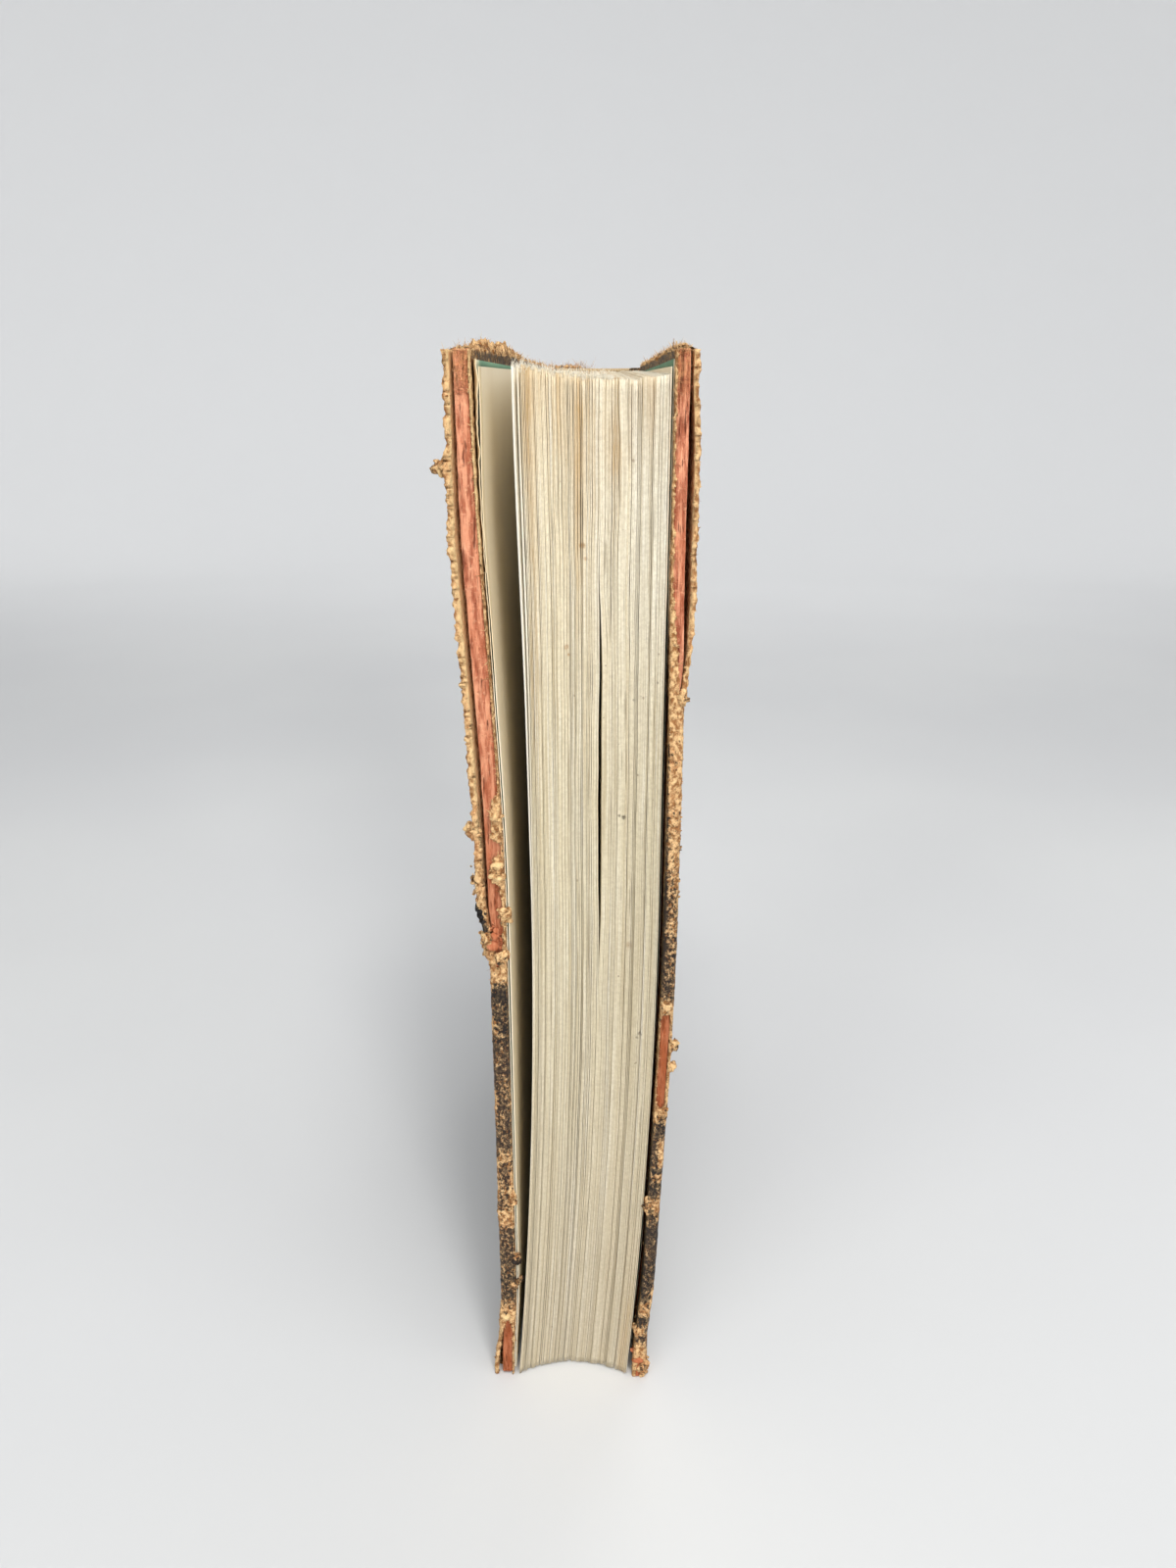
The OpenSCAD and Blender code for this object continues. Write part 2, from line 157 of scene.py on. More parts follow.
class Cover:
    """One of the two covers: its side, its body, how it bends and where its leather is worn."""

    def __init__(self, name, **settings):
        self.name, self.body = name, name + "_cover"
        self.__dict__.update(settings)

    def place(self, u, y, z):
        """From the distance off the middle plane, depth and height to a point in metres."""
        stand = np.interp(z, BEND_ROWS, self.bends)
        outward = np.clip((u - TURNED_IN) / (SKIN_OUT - TURNED_IN), 0, None)
        swollen = self.swell(z) * outward * ease(1 - (y - FORE_Y) / SWELL_W)
        x = MIDDLE_X + self.side * (u + swollen + stand * reach(y))
        return np.stack(np.broadcast_arrays(x, y, z), axis=-1) * MM

    def loose(self, run, z):
        """How far the leather has come off the board, run in from the fore-edge and z up."""
        return self.peel(z) * ease(1 - run / PEEL_W)

    def bare(self, w, z):
        """Where the leather over the fore-edge is gone: w runs from the outer corner to the inner one."""
        gone = np.zeros(np.broadcast(w, z).shape, bool)
        outer = 0.10 * rough(z / 1.1, 0.5, 3.3, 4, self.seed)
        inner = 0.12 * rough(z / 0.9, 7.5, 3.3, 4, self.seed)
        for heights, low, high in self.bare_spans:
            inside = (z >= heights[0]) & (z <= heights[-1])
            inside = inside & (w > np.interp(z, heights, low) + outer)
            gone |= inside & (w < np.interp(z, heights, high) + inner)
        return gone

    def wear(self, w, z):
        """How far the leather is rubbed to its tan flesh at share w over the edge and height z; values past
        1.3 paint a highlight.
        """
        amount = np.interp(z, *zip(*self.worn)) + 0 * w
        for at, share, tall, wide, patch in self.patches:
            amount = mix(amount, patch, np.exp(-((z - at) / tall) ** 4 - ((w - share) / wide) ** 4))
        return amount


# swell, peel and fluff are by height: how far the board swells, the leather comes off it and its rim frays;
# fluff also turns the rim paler, a painted highlight.
# crest is by depth: how far the leather stands up over the head.
# bare_spans: heights, then the shares over the edge between which the red board shows.
# worn: heights and wears. patches: a height, a share, their half sizes and a wear. Values past 1.3 are painted
# highlight rather than wear, as in the last front patch.
# lumps: a height, a size and how far it stands out.
# clumps: a height, a share, a spread, a number of crumbs, their size and a wear, whose random spread can pass
# 1.3 into painted highlight. crumbled: red board's own.
FRONT = Cover(
    "front", side=-1, bends=FRONT_BENDS, seed=11,
    swell=lambda z: 1.0 * ease((z - 97) / 14) * (1 - 0.65 * ease((z - 168) / 24)),
    peel=lambda z: 0.6 * ease((z - 99) / 12) * (1 - 0.3 * ease((z - 185) / 12)) + 0.9 * ease((15 - z) / 15),
    fluff=lambda z: 0.4 * ease((z - 98) / 6),
    crest=lambda y: 2.1 * ease((y - FORE_Y - 8) / 14) * ease((25 - y) / 40),
    bare_spans=[
        ([96, 98, 101, 104, 108, 112.5, 113.5, 117.5, 118.5, 120.5, 121.5, 128, 130, 201],
         [0.5, 0.4, 0.34, 0.3, 0.24, 0.2, 0.2, 0.16, 0.14, 0.12, 0.1, 0.06, 0.05, 0.03],
         [0.55, 0.72, 0.8, 0.84, 0.84, 0.8, 0.52, 0.52, 0.9, 0.92, 0.58, 0.62, 0.92, 0.95]),
        ([-1, 4, 9, 13, 16], [0.05, 0.06, 0.14, 0.32, 0.55], [0.95, 0.95, 0.92, 0.84, 0.6])],
    worn=[(0, 1.0), (17.5, 1.0), (21, 0.38), (37, 0.32), (39, 0.42), (58, 0.4), (62, 0.32), (90, 0.36),
          (94, 1.0), (201, 1.1)],
    patches=[
        (94.5, 0.1, 3.0, 0.35, 0.85), (85, 0.1, 2.2, 0.26, 0.75), (67.3, 0.05, 3.4, 0.26, 0.85),
        (77, -0.05, 6, 0.1, 0.5), (55.5, 0.6, 1.6, 0.4, 0.65), (48.7, 0.05, 6.5, 0.2, 0.8),
        (47.7, 0.95, 7, 0.2, 0.85), (40.8, 0.45, 2.4, 0.5, 0.9), (45.6, 0.5, 2.6, 0.14, 0.6),
        (64.5, 0.98, 7, 0.08, 0.7), (33, 0.98, 7, 0.09, 0.75), (25, 0.05, 4, 0.1, 0.6),
        (104.8, 0.05, 1.8, 0.2, 0.1), (90, 0.6, 3.6, 0.5, 0.2), (184, 1.0, 19, 0.45, 1.65)],
    lumps=[
        (182.4, 1.3, 1.2), (170.2, 0.9, 0.4), (123.3, 1.3, 0.6), (98.5, 2.2, 0.8), (192.8, 1.5, 0.4),
        (148.6, 1.0, 0.5), (156.8, 0.8, 0.4), (138.5, 0.9, 0.4), (114.2, 1.0, 0.4), (41.8, 2.2, 0.35),
        (15.6, 2.4, 0.3)],
    clumps=[
        (98.8, -0.1, 1.0, 30, 0.44, 1.1), (102, -0.1, 1.3, 24, 0.4, 1.2), (98.6, 0.75, 0.9, 26, 0.42, 1.0),
        (106.5, 0.95, 1.5, 16, 0.34, 1.1), (124.5, 0.8, 2.6, 26, 0.32, 1.2),
        (115.5, 0.75, 1.5, 26, 0.34, 1.2), (106.8, 0.0, 1.0, 14, 0.32, 0.0),
        (112.5, -0.05, 3.0, 26, 0.28, 1.1), (30.4, 1.08, 0.9, 30, 0.42, 0.35),
        (24.0, 1.08, 0.8, 26, 0.4, 0.4), (16.2, 0.2, 1.4, 40, 0.32, 1.1), (45.0, 0.95, 2.0, 26, 0.28, 0.9),
        (182.4, -0.3, 0.8, 30, 0.36, 1.2), (123.0, -0.2, 0.8, 20, 0.3, 1.1)],
    crumbled=[(102.5, 0.5, 2.4, 26, 0.3), (97.6, 0.45, 0.9, 10, 0.28)])
REAR = Cover(
    "rear", side=1, bends=REAR_BENDS, seed=47,
    swell=lambda z: -0.6 * ease((154 - z) / 8),
    peel=lambda z: 0.95 * ease((z - 144.5) / 20) * (1 - 0.6 * ease((z - 184) / 13)) + 0.7 * ease((9 - z) / 9),
    fluff=lambda z: 0.3 * ease((z - 143) / 8),
    crest=lambda y: 0.35 + 0 * y,
    bare_spans=[
        ([145.5, 150.5, 155.5, 164, 201], [0.35, 0.2, 0.1, 0.03, 0.02], [0.35, 0.5, 0.64, 0.82, 0.88]),
        ([66.3, 68.3, 74.3, 82.3, 87], [0.45, 0.2, 0.08, 0.1, 0.35], [0.62, 0.92, 0.98, 0.97, 0.8]),
        ([-1, 3, 5.5], [0.3, 0.4, 0.5], [0.75, 0.65, 0.5])],
    worn=[(0, 1.1), (7, 1.0), (10, 0.32), (16.5, 0.36), (23, 0.24), (39, 0.22), (40, 0.45), (45, 0.5),
          (47, 0.28), (58, 0.3), (62.5, 0.3), (64, 0.8), (88, 0.8), (91, 0.44), (104, 0.5), (114, 0.64),
          (124, 0.84), (134, 1.0), (201, 1.1)],
    patches=[
        (43.8, 0.6, 1.1, 0.6, 0.85), (56, 0.25, 3.2, 0.28, 0.85), (50.6, 0.35, 1.2, 0.5, 0.7),
        (31, 0.0, 9, 0.1, 0.5), (22, 0.1, 3.0, 0.2, 0.8), (17.9, 0.5, 1.9, 0.6, 0.8),
        (12, 0.75, 1.2, 0.4, 0.9), (108, 0.95, 18, 0.16, 0.1), (130, 0.98, 12, 0.12, 0.35)],
    lumps=[
        (146.6, 1.6, 0.7), (162.0, 0.8, 0.3), (154.6, 0.7, 0.3), (79.3, 0.9, 0.9), (74.8, 0.7, 0.6),
        (184.5, 1.0, 0.2), (64.4, 0.6, 0.4)],
    clumps=[
        (79.3, -0.15, 0.7, 22, 0.34, 1.0), (74.8, -0.15, 0.6, 18, 0.32, 1.0), (65.5, 0.4, 1.0, 24, 0.28, 1.0),
        (43.6, 0.95, 1.3, 44, 0.34, 0.95), (42.2, 0.5, 0.8, 20, 0.3, 0.9), (146.8, 0.2, 1.2, 36, 0.32, 1.1),
        (12.2, 0.95, 0.8, 22, 0.34, 1.0), (2.5, 0.2, 1.8, 30, 0.36, 1.1), (118, 0.1, 9.0, 30, 0.22, 1.0)],
    crumbled=[(2.2, 0.55, 2.0, 70, 0.4), (5.6, 0.75, 1.4, 24, 0.3), (43.2, 1.0, 1.0, 16, 0.3)])


# Mesh building

class Shape:
    """Points, faces and what they carry, gathered before they become one piece."""

    def __init__(self):
        self.points, self.faces, self.materials, self.smooth = [], [], [], []
        self.values, self.count = {}, 0

    def add(self, points, faces, material=0, smooth=True, **values):
        """Adds points with one array of faces, or a list of arrays, each of one number of corners."""
        points = np.asarray(points, float).reshape(-1, 3)
        before = len(self.faces)
        for group in faces if isinstance(faces, list) else [faces]:
            self.faces += (group + self.count).tolist()
        added = len(self.faces) - before
        self.materials += np.broadcast_to(material, added).tolist()
        self.smooth += np.broadcast_to(smooth, added).tolist()
        for key, value in values.items():
            self.values.setdefault(key, []).append(np.broadcast_to(np.ravel(value), len(points)))
        self.points.append(points)
        self.count += len(points)

    def sheet(self, outer, inner, flip, keep=None, **values):
        """Adds a sheet between two grids, each value a pair for its sides. Gives points, faces and rims."""
        if keep is None:
            keep = np.ones((outer.shape[0] - 1, outer.shape[1] - 1), bool)
        points = np.concatenate([outer.reshape(-1, 3), inner.reshape(-1, 3)])
        half = len(points) // 2
        for key, pair in values.items():
            values[key] = np.concatenate([np.broadcast_to(np.ravel(side), half) for side in pair])
        faces, backs, rims = sheet_quads(keep, flip)
        self.add(points, np.concatenate([faces, backs, rims]), **values)
        return points, faces, rims

    def add_each(self, made, wear, material=0):
        """Adds crumbs or fibres with one value for each, of wear and, past 1.3, painted highlight."""
        points, faces = made
        self.add(points, faces, material, wear=np.repeat(wear, len(points) // len(wear)))

    def piece(self, name, materials, body=None, replaces=()):
        """Makes the mesh, without points that no face uses, and says how the piece belongs to the frame."""
        points = np.concatenate(self.points)
        used = np.zeros(len(points), bool)
        for face in self.faces:
            used[face] = True
        order = np.cumsum(used) - 1
        mesh = bpy.data.meshes.new(name)
        mesh.from_pydata(points[used].tolist(), [], [order[face].tolist() for face in self.faces])
        for material in materials:
            mesh.materials.append(material)
        mesh.polygons.foreach_set("material_index", np.array(self.materials, np.int32))
        mesh.polygons.foreach_set("use_smooth", np.array(self.smooth, bool))
        for key, parts in self.values.items():
            values = np.concatenate(parts)[used].astype(np.float32)
            mesh.attributes.new(key, "FLOAT", "POINT").data.foreach_set("value", values)
        mesh.update()
        made = bpy.data.objects.new(name, mesh)
        bpy.context.collection.objects.link(made)
        if replaces:
            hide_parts(*replaces)
        if body:
            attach(made, body)
        return made


def grid_quads(rows, cols, flip=False):
    """Faces of a grid of points, row by row."""
    at = np.arange(rows * cols).reshape(rows, cols)
    a, b, c, d = at[:-1, :-1], at[:-1, 1:], at[1:, 1:], at[1:, :-1]
    order = (a, d, c, b) if flip else (a, b, c, d)
    return np.stack([o.ravel() for o in order], axis=-1)


def sheet_quads(keep, flip=False):
    """Faces of a sheet between two grids: its outer side, its inner side and its rims."""
    rows, cols = keep.shape[0] + 1, keep.shape[1] + 1
    at = np.arange(rows * cols).reshape(rows, cols)
    under = at + rows * cols
    full = np.pad(keep, 1)
    near = full[:-2, 1:-1], full[2:, 1:-1], full[1:-1, :-2], full[1:-1, 2:]

    def corners(g):
        return g[:-1, :-1], g[:-1, 1:], g[1:, 1:], g[1:, :-1]

    a, b, c, d = corners(at)
    e, f, g, h = corners(under)
    sides = (a, e, f, b), (d, c, g, h), (a, d, h, e), (b, f, g, c)
    outer = np.stack([o[keep] for o in (a, b, c, d)], axis=-1)
    inner = np.stack([o[keep] for o in (e, h, g, f)], axis=-1)
    rims = np.concatenate([np.stack([o[keep & ~n] for o in side], axis=-1) for n, side in zip(near, sides)])
    if flip:
        outer, inner, rims = outer[:, ::-1], inner[:, ::-1], rims[:, ::-1]
    return outer, inner, rims


def unit(vectors):
    return vectors / np.maximum(np.linalg.norm(vectors, axis=-1, keepdims=True), 1e-12)


def fibres(roots, away, lengths, width, random):
    """Thin bent fibres, one from each root, tapering to a point: points and faces."""
    count = len(roots)
    away = unit(away)
    side = unit(np.cross(away, random.normal(size=(count, 3))))
    other = np.cross(away, side)
    lengths = lengths[:, None]
    bow = side * lengths * random.uniform(-0.5, 0.5, (count, 1))
    turn = np.radians([0, 120, 240])[:, None]
    ring = side[:, None] * np.cos(turn) + other[:, None] * np.sin(turn)
    middle = roots + away * lengths * 0.55 + bow * 0.45
    tip = roots + away * lengths + bow * 1.3
    rings = [roots[:, None] + ring * width, middle[:, None] + ring * width * 0.7, tip[:, None]]
    points = np.concatenate(rings, axis=1)
    first = np.arange(count)[:, None] * 7
    quads = np.concatenate([first + np.array([k, (k + 1) % 3, 3 + (k + 1) % 3, 3 + k]) for k in range(3)])
    tips = np.concatenate([first + np.array([3 + k, 3 + (k + 1) % 3, 6]) for k in range(3)])
    return points.reshape(-1, 3), [quads, tips]


def crumbs(roots, sizes, random):
    """Small rough lumps, one at each root: points and faces."""
    ball = bmesh.new()
    bmesh.ops.create_icosphere(ball, subdivisions=2, radius=1)
    shell = np.array([v.co for v in ball.verts])
    corners = np.array([[v.index for v in f.verts] for f in ball.faces])
    ball.free()
    place = shell[None] * 1.6 + random.uniform(0, 90, (len(roots), 1, 3))
    swell = 1 + 0.75 * noise(*np.moveaxis(place, -1, 0), 3)
    stretch = random.uniform(0.6, 1.3, (len(roots), 1, 3))
    points = roots[:, None] + sizes[:, None, None] * stretch * shell[None] * swell[..., None]
    first = np.arange(len(roots))[:, None, None] * len(shell)
    return points.reshape(-1, 3), (first + corners).reshape(-1, 3)


# Materials

def srgb(r, g, b):
    """A colour as the eye sees it, from 0 to 255, as Blender's linear values."""
    def linear(v):
        v /= 255
        return v / 12.92 if v <= 0.04045 else ((v + 0.055) / 1.055) ** 2.4
    return (linear(r), linear(g), linear(b), 1.0)


class Nodes:
    """A short way to write a material's nodes."""

    def __init__(self, name, roughness=0.8, specular=0.3):
        self.material = bpy.data.materials.new(name)
        self.material.use_nodes = True
        self.tree = self.material.node_tree
        self.shader = self.tree.nodes["Principled BSDF"]
        self.shader.inputs["Roughness"].default_value = roughness
        self.shader.inputs["Specular IOR Level"].default_value = specular
        self.place = self.tree.nodes.new("ShaderNodeTexCoord").outputs["Object"]

    def node(self, kind, inputs=(), **settings):
        made = self.tree.nodes.new(kind)
        for key, value in settings.items():
            setattr(made, key, value)
        for key, value in dict(inputs).items():
            self.put(made.inputs[key], value)
        return made

    def put(self, socket, value):
        if isinstance(value, bpy.types.NodeSocket):
            self.tree.links.new(value, socket)
        else:
            socket.default_value = value

    def attribute(self, name):
        return self.node("ShaderNodeAttribute", attribute_name=name).outputs["Fac"]

    def split(self):
        return self.node("ShaderNodeSeparateXYZ", {0: self.place}).outputs

    def join(self, x, y, z):
        return self.node("ShaderNodeCombineXYZ", {0: x, 1: y, 2: z}).outputs[0]

    def scaled(self, x, y, z):
        """The object's coordinates, in metres, times a number each way."""
        made = self.node("ShaderNodeVectorMath", {0: self.place, 1: (x, y, z)}, operation="MULTIPLY")
        return made.outputs[0]

    def noise(self, vector, detail=3.0, roughness=0.55):
        """Noise at a vector, or over the object's coordinates times three numbers."""
        if isinstance(vector, tuple):
            vector = self.scaled(*vector)
        inputs = {"Vector": vector, "Scale": 1.0, "Detail": detail, "Roughness": roughness}
        return self.node("ShaderNodeTexNoise", inputs).outputs["Fac"]

    def cells(self, x, y, z):
        vector = self.scaled(x, y, z)
        return self.node("ShaderNodeTexVoronoi", {"Vector": vector, "Scale": 1.0}).outputs["Distance"]

    def math(self, operation, a, b=0.0, clamp=False):
        return self.node("ShaderNodeMath", {0: a, 1: b}, operation=operation, use_clamp=clamp).outputs[0]

    def times(self, a, b):
        return self.math("MULTIPLY", a, b)

    def ramp(self, value, low, high, to_low=0.0, to_high=1.0):
        """Value from low to high turned smoothly into to_low to to_high."""
        inputs = {"Value": value, "From Min": low, "From Max": high, "To Min": to_low, "To Max": to_high}
        return self.node("ShaderNodeMapRange", inputs, interpolation_type="SMOOTHSTEP").outputs[0]

    def blend(self, amount, a, b):
        made = self.node("ShaderNodeMix", data_type="RGBA")
        for key, value in ((0, amount), (6, a), (7, b)):
            self.put(made.inputs[key], value)
        return made.outputs[2]

    def coats(self, colour, *layers, share=None):
        """Tones over a colour, each with a value and the range over which it goes from none to an amount."""
        for value, low, high, amount, tone in layers:
            amount = self.ramp(value, low, high, 0.0, amount)
            colour = self.blend(self.times(share, amount) if share else amount, colour, srgb(*tone))
        return colour

    def near(self, x, z, radius):
        """One along the line through x and z in millimetres, falling to nothing at the radius."""
        flat = self.scaled(1.0, 0.0, 1.0)
        far = self.node("ShaderNodeVectorMath", {0: flat, 1: (x * MM, 0.0, z * MM)}, operation="DISTANCE")
        return self.ramp(far.outputs["Value"], radius * MM, radius * 0.3 * MM)

    def bump(self, height, distance, strength=1.0, under=None):
        inputs = {"Height": height, "Distance": distance * MM, "Strength": strength}
        made = self.node("ShaderNodeBump", inputs)
        if under:
            self.put(made.inputs["Normal"], under)
        return made.outputs[0]

    def finish(self, colour, roughness=None, normal=None):
        self.put(self.shader.inputs["Base Color"], colour)
        if roughness is not None:
            self.put(self.shader.inputs["Roughness"], roughness)
        if normal is not None:
            self.put(self.shader.inputs["Normal"], normal)
        return self.material


def page_edges():
    """Cream page edges: fine lines from leaf to leaf with painted shade in their gaps, painted light that
    grows brighter towards the head, brown streaks from the head and a few spots.
    """
    n = Nodes("page_edges", 0.92, 0.15)
    leaf, tint, stain, white = [n.attribute(key) for key in ("leaf", "tint", "stain", "white")]
    x, _, z = n.split()

    def streaked(per_leaf, offset, per_metre, detail):
        return n.noise(n.join(n.times(leaf, per_leaf), offset, n.times(z, per_metre)), detail)

    lines, gap_shade = streaked(3.7, 0.0, 26.0, 1.0), streaked(5.3, 9.1, 60.0, 1.0)
    broad, dots = streaked(0.2, 3.7, 14.0, 3.0), n.noise((900, 900, 700), 2.0)
    dust, cloud = n.noise((1500, 1500, 1500), 4.0, 0.7), n.noise((110, 110, 45), 4.0, 0.6)
    # Painted light: darker towards the tail, brighter towards the head, and a painted highlight towards the
    # right at the top.
    colour = n.coats(srgb(207, 194, 168), (z, 0.0, 0.12, 1.0, (222, 211, 182)),
                     (z, 0.12, 0.195, 1.0, (243, 231, 203)))
    colour = n.coats(colour, (x, -0.002, 0.014, 1.0, (247, 240, 220)), share=n.ramp(z, 0.12, 0.18))
    colour = n.blend(n.times(tint, 0.25), colour, srgb(196, 180, 148))
    colour = n.coats(colour, (broad, 0.45, 0.72, 0.25, (238, 233, 219)))
    # The darkest line coat is painted shade in the gaps between leaves.
    colour = n.coats(colour, (lines, 0.52, 0.72, 0.5, (176, 156, 118)),
                     (lines, 0.46, 0.28, 0.6, (246, 240, 224)), (gap_shade, 0.64, 0.74, 0.5, (112, 92, 66)),
                     share=n.ramp(z, 0.03, 0.13, 0.45, 1.0))
    colour = n.coats(colour, (dust, 0.65, 0.35, 0.3, (176, 160, 130)), (dots, 0.74, 0.80, 0.6, (118, 92, 62)))
    streaks = n.times(n.ramp(lines, 0.3, 0.6, 0.35, 1.0), n.ramp(cloud, 0.35, 0.6, 0.3, 1.0))
    colour = n.blend(n.math("MULTIPLY", stain, streaks, clamp=True), colour, srgb(200, 160, 100))
    colour = n.blend(white, colour, srgb(236, 231, 218))
    for x_spot, z_spot, radius, tone, amount in SPOTS:
        spot = n.times(n.near(x_spot, z_spot, radius), n.ramp(dust, 0.3, 0.6, amount, amount * 0.5))
        colour = n.blend(spot, colour, srgb(*tone))
    return n.finish(colour)


def fibrous_board():
    """Red pasteboard: layers and fibres that run up the edge, with painted shade in the splits between them
    and pale dust.
    """
    n = Nodes("red_board", 0.95, 0.1)
    strands, splits_and_shade = n.noise((1500, 600, 200), 4.0, 0.6), n.noise((1700, 300, 170))
    cloud, grains = n.noise((190, 190, 80), 4.0), n.noise((1100, 1100, 1500), 4.0, 0.65)
    z = n.split()[2]
    # The darkest coat is painted shade in the splits; the same noise cuts them as grooves in the bump.
    colour = n.coats(srgb(178, 104, 76), (strands, 0.38, 0.62, 1.0, (238, 170, 134)),
                     (cloud, 0.4, 0.7, 0.5, (204, 124, 90)), (grains, 0.55, 0.68, 0.6, (242, 184, 146)),
                     (splits_and_shade, 0.60, 0.68, 0.8, (118, 58, 40)), (z, 0.165, 0.07, 0.75, (172, 96, 56)))
    colour = n.coats(colour, (grains, 0.3, 0.6, 0.75, (224, 166, 116)), share=n.ramp(z, 0.191, 0.1975))
    height = n.math("SUBTRACT", n.math("ADD", strands, n.times(grains, 0.6)), n.ramp(splits_and_shade, 0.6, 0.70))
    return n.finish(colour, normal=n.bump(height, 0.3, 0.9))


def worn_leather():
    """Black-brown leather, rubbed to tan flesh where the wear value is high; past 1.3 that value paints a pale
    highlight on torn fibres and rims.
    """
    n = Nodes("worn_leather", 0.6, 0.25)
    wear = n.attribute("wear")
    speckle, patches = n.noise((2000, 2000, 1400), 5.0, 0.7), n.noise((420, 420, 300), 4.0, 0.6)
    fuzz, cloud = n.noise((1150, 1150, 1000), 4.0, 0.65), n.noise((70, 70, 50), 4.0, 0.6)
    grain = n.cells(1900, 1900, 11500)
    spread = n.math("ADD", n.times(n.math("SUBTRACT", speckle, 0.5), 3.4),
                    n.times(n.math("SUBTRACT", patches, 0.5), 1.3))
    rubbed = n.ramp(n.math("SUBTRACT", wear, spread), 0.36, 0.72)
    dark = n.coats(srgb(28, 24, 21), (cloud, 0.4, 0.68, 1.0, (58, 42, 32)),
                   (grain, 0.5, 0.1, 0.3, (20, 16, 14)))
    dark = n.coats(dark, (fuzz, 0.46, 0.64, 0.62, (134, 108, 76)), share=n.ramp(wear, 0.0, 0.3))
    # The last tan coat paints a highlight where the value passes 1.3, mostly on torn rims and fibres.
    tan = n.coats(srgb(148, 100, 58), (fuzz, 0.38, 0.62, 1.0, (240, 200, 146)),
                  (patches, 0.48, 0.68, 0.4, (214, 152, 100)), (speckle, 0.44, 0.3, 0.65, (96, 60, 34)),
                  (wear, 1.3, 1.6, 0.8, (242, 208, 152)))
    normal = n.bump(n.times(grain, n.math("SUBTRACT", 1.0, rubbed)), 0.1, 0.7)
    normal = n.bump(n.times(fuzz, rubbed), 0.5, 1.0, normal)
    return n.finish(n.blend(rubbed, dark, tan), n.ramp(rubbed, 0.0, 1.0, 0.5, 0.97), normal)


def paper(name, face, rubbed_to, mottle):
    """Endpaper: a matt coat that is rubbed off along the edges."""
    n = Nodes(name, 0.85, 0.2)
    cloud, fibre = n.noise((55, 55, 40), 5.0, 0.6), n.noise((1800, 1800, 1800), 4.0, 0.7)
    worn = n.math("SUBTRACT", n.attribute("rub"), n.times(fibre, 0.5))
    colour = n.coats(srgb(*face), (cloud, 0.35, 0.72, 0.8, mottle), (fibre, 0.55, 0.8, 0.25, rubbed_to),
                     (worn, 0.1, 0.35, 1.0, rubbed_to))
    return n.finish(colour, normal=n.bump(fibre, 0.03, 0.5))


def woven(name, tone, shade, pitch):
    """Plain-woven linen."""
    n = Nodes(name, 0.9, 0.15)
    x, y, z = n.split()
    turn = 2 * math.pi / (pitch * MM)
    weave = n.times(n.math("SINE", n.times(n.math("ADD", x, y), turn)), n.math("SINE", n.times(z, turn)))
    slub = n.noise((600, 600, 200))
    colour = n.coats(srgb(*shade), (weave, -0.8, 0.8, 1.0, tone), (slub, 0.5, 0.8, 0.4, shade))
    return n.finish(colour, normal=n.bump(weave, 0.06, 0.7))


def lining_paper():
    """Brown lining paper, streaked with old glue."""
    n = Nodes("lining_paper", 0.75, 0.3)
    glue, fibre = n.noise((160, 160, 30), 5.0, 0.65), n.noise((1500, 1500, 1500), 4.0)
    colour = n.coats(srgb(148, 118, 82), (fibre, 0.35, 0.7, 1.0, (178, 146, 104)),
                     (glue, 0.5, 0.68, 1.0, (92, 62, 36)))
    return n.finish(colour, n.ramp(glue, 0.45, 0.7, 0.85, 0.45), n.bump(fibre, 0.05, 0.5))


def wound_thread():
    """Faded thread with painted light: lighter where it stands proud, darker between the turns."""
    n = Nodes("wound_thread", 0.8, 0.2)
    colour = n.blend(n.attribute("proud"), srgb(120, 92, 64), srgb(206, 184, 146))
    return n.finish(n.coats(colour, (n.noise((5000, 5000, 5000), 2.0), 0.5, 0.8, 0.5, (168, 138, 100))))


# Spots on the page edges: place across and up in millimetres, radius, colour and strength
SPOTS = [
    (0.7, 170.5, 0.7, (164, 112, 50), 0.85), (1.2, 168.5, 0.5, (172, 124, 64), 0.7),
    (-1.9, 154.3, 0.6, (160, 110, 54), 0.85), (-1.5, 153.0, 0.4, (168, 122, 64), 0.7),
    (7.8, 124.4, 0.55, (52, 38, 26), 0.95), (7.0, 124.7, 0.35, (70, 52, 36), 0.8),
    (11.2, 81.9, 0.55, (60, 44, 32), 0.9), (10.7, 81.0, 0.4, (84, 64, 46), 0.8),
    (9.0, 99.8, 0.9, (160, 126, 90), 0.6), (10.7, 14.1, 0.7, (150, 106, 62), 0.6),
    (8.6, 183.5, 0.35, (140, 108, 70), 0.6), (13.0, 148.7, 0.3, (96, 74, 50), 0.7),
    (9.2, 145.4, 0.3, (80, 60, 40), 0.8), (10.0, 132.4, 0.3, (110, 84, 56), 0.6),
]

PAGE = page_edges()
BOARD = fibrous_board()
LEATHER = worn_leather()
GREEN = paper("green_endpaper", (112, 146, 118), (222, 212, 184), (88, 124, 100))
WHITE = paper("white_endpaper", (248, 236, 210), (230, 211, 174), (242, 228, 200))
LEAF = paper("page_face", (234, 224, 198), (220, 206, 174), (226, 214, 184))
LINEN = woven("linen_tape", (206, 190, 158), (150, 130, 98), 0.7)
LINING = lining_paper()
THREAD = wound_thread()


# Pages

LEAVES, CRACK_AT, PAGE_FIBRES = 110, 0.06, 1900


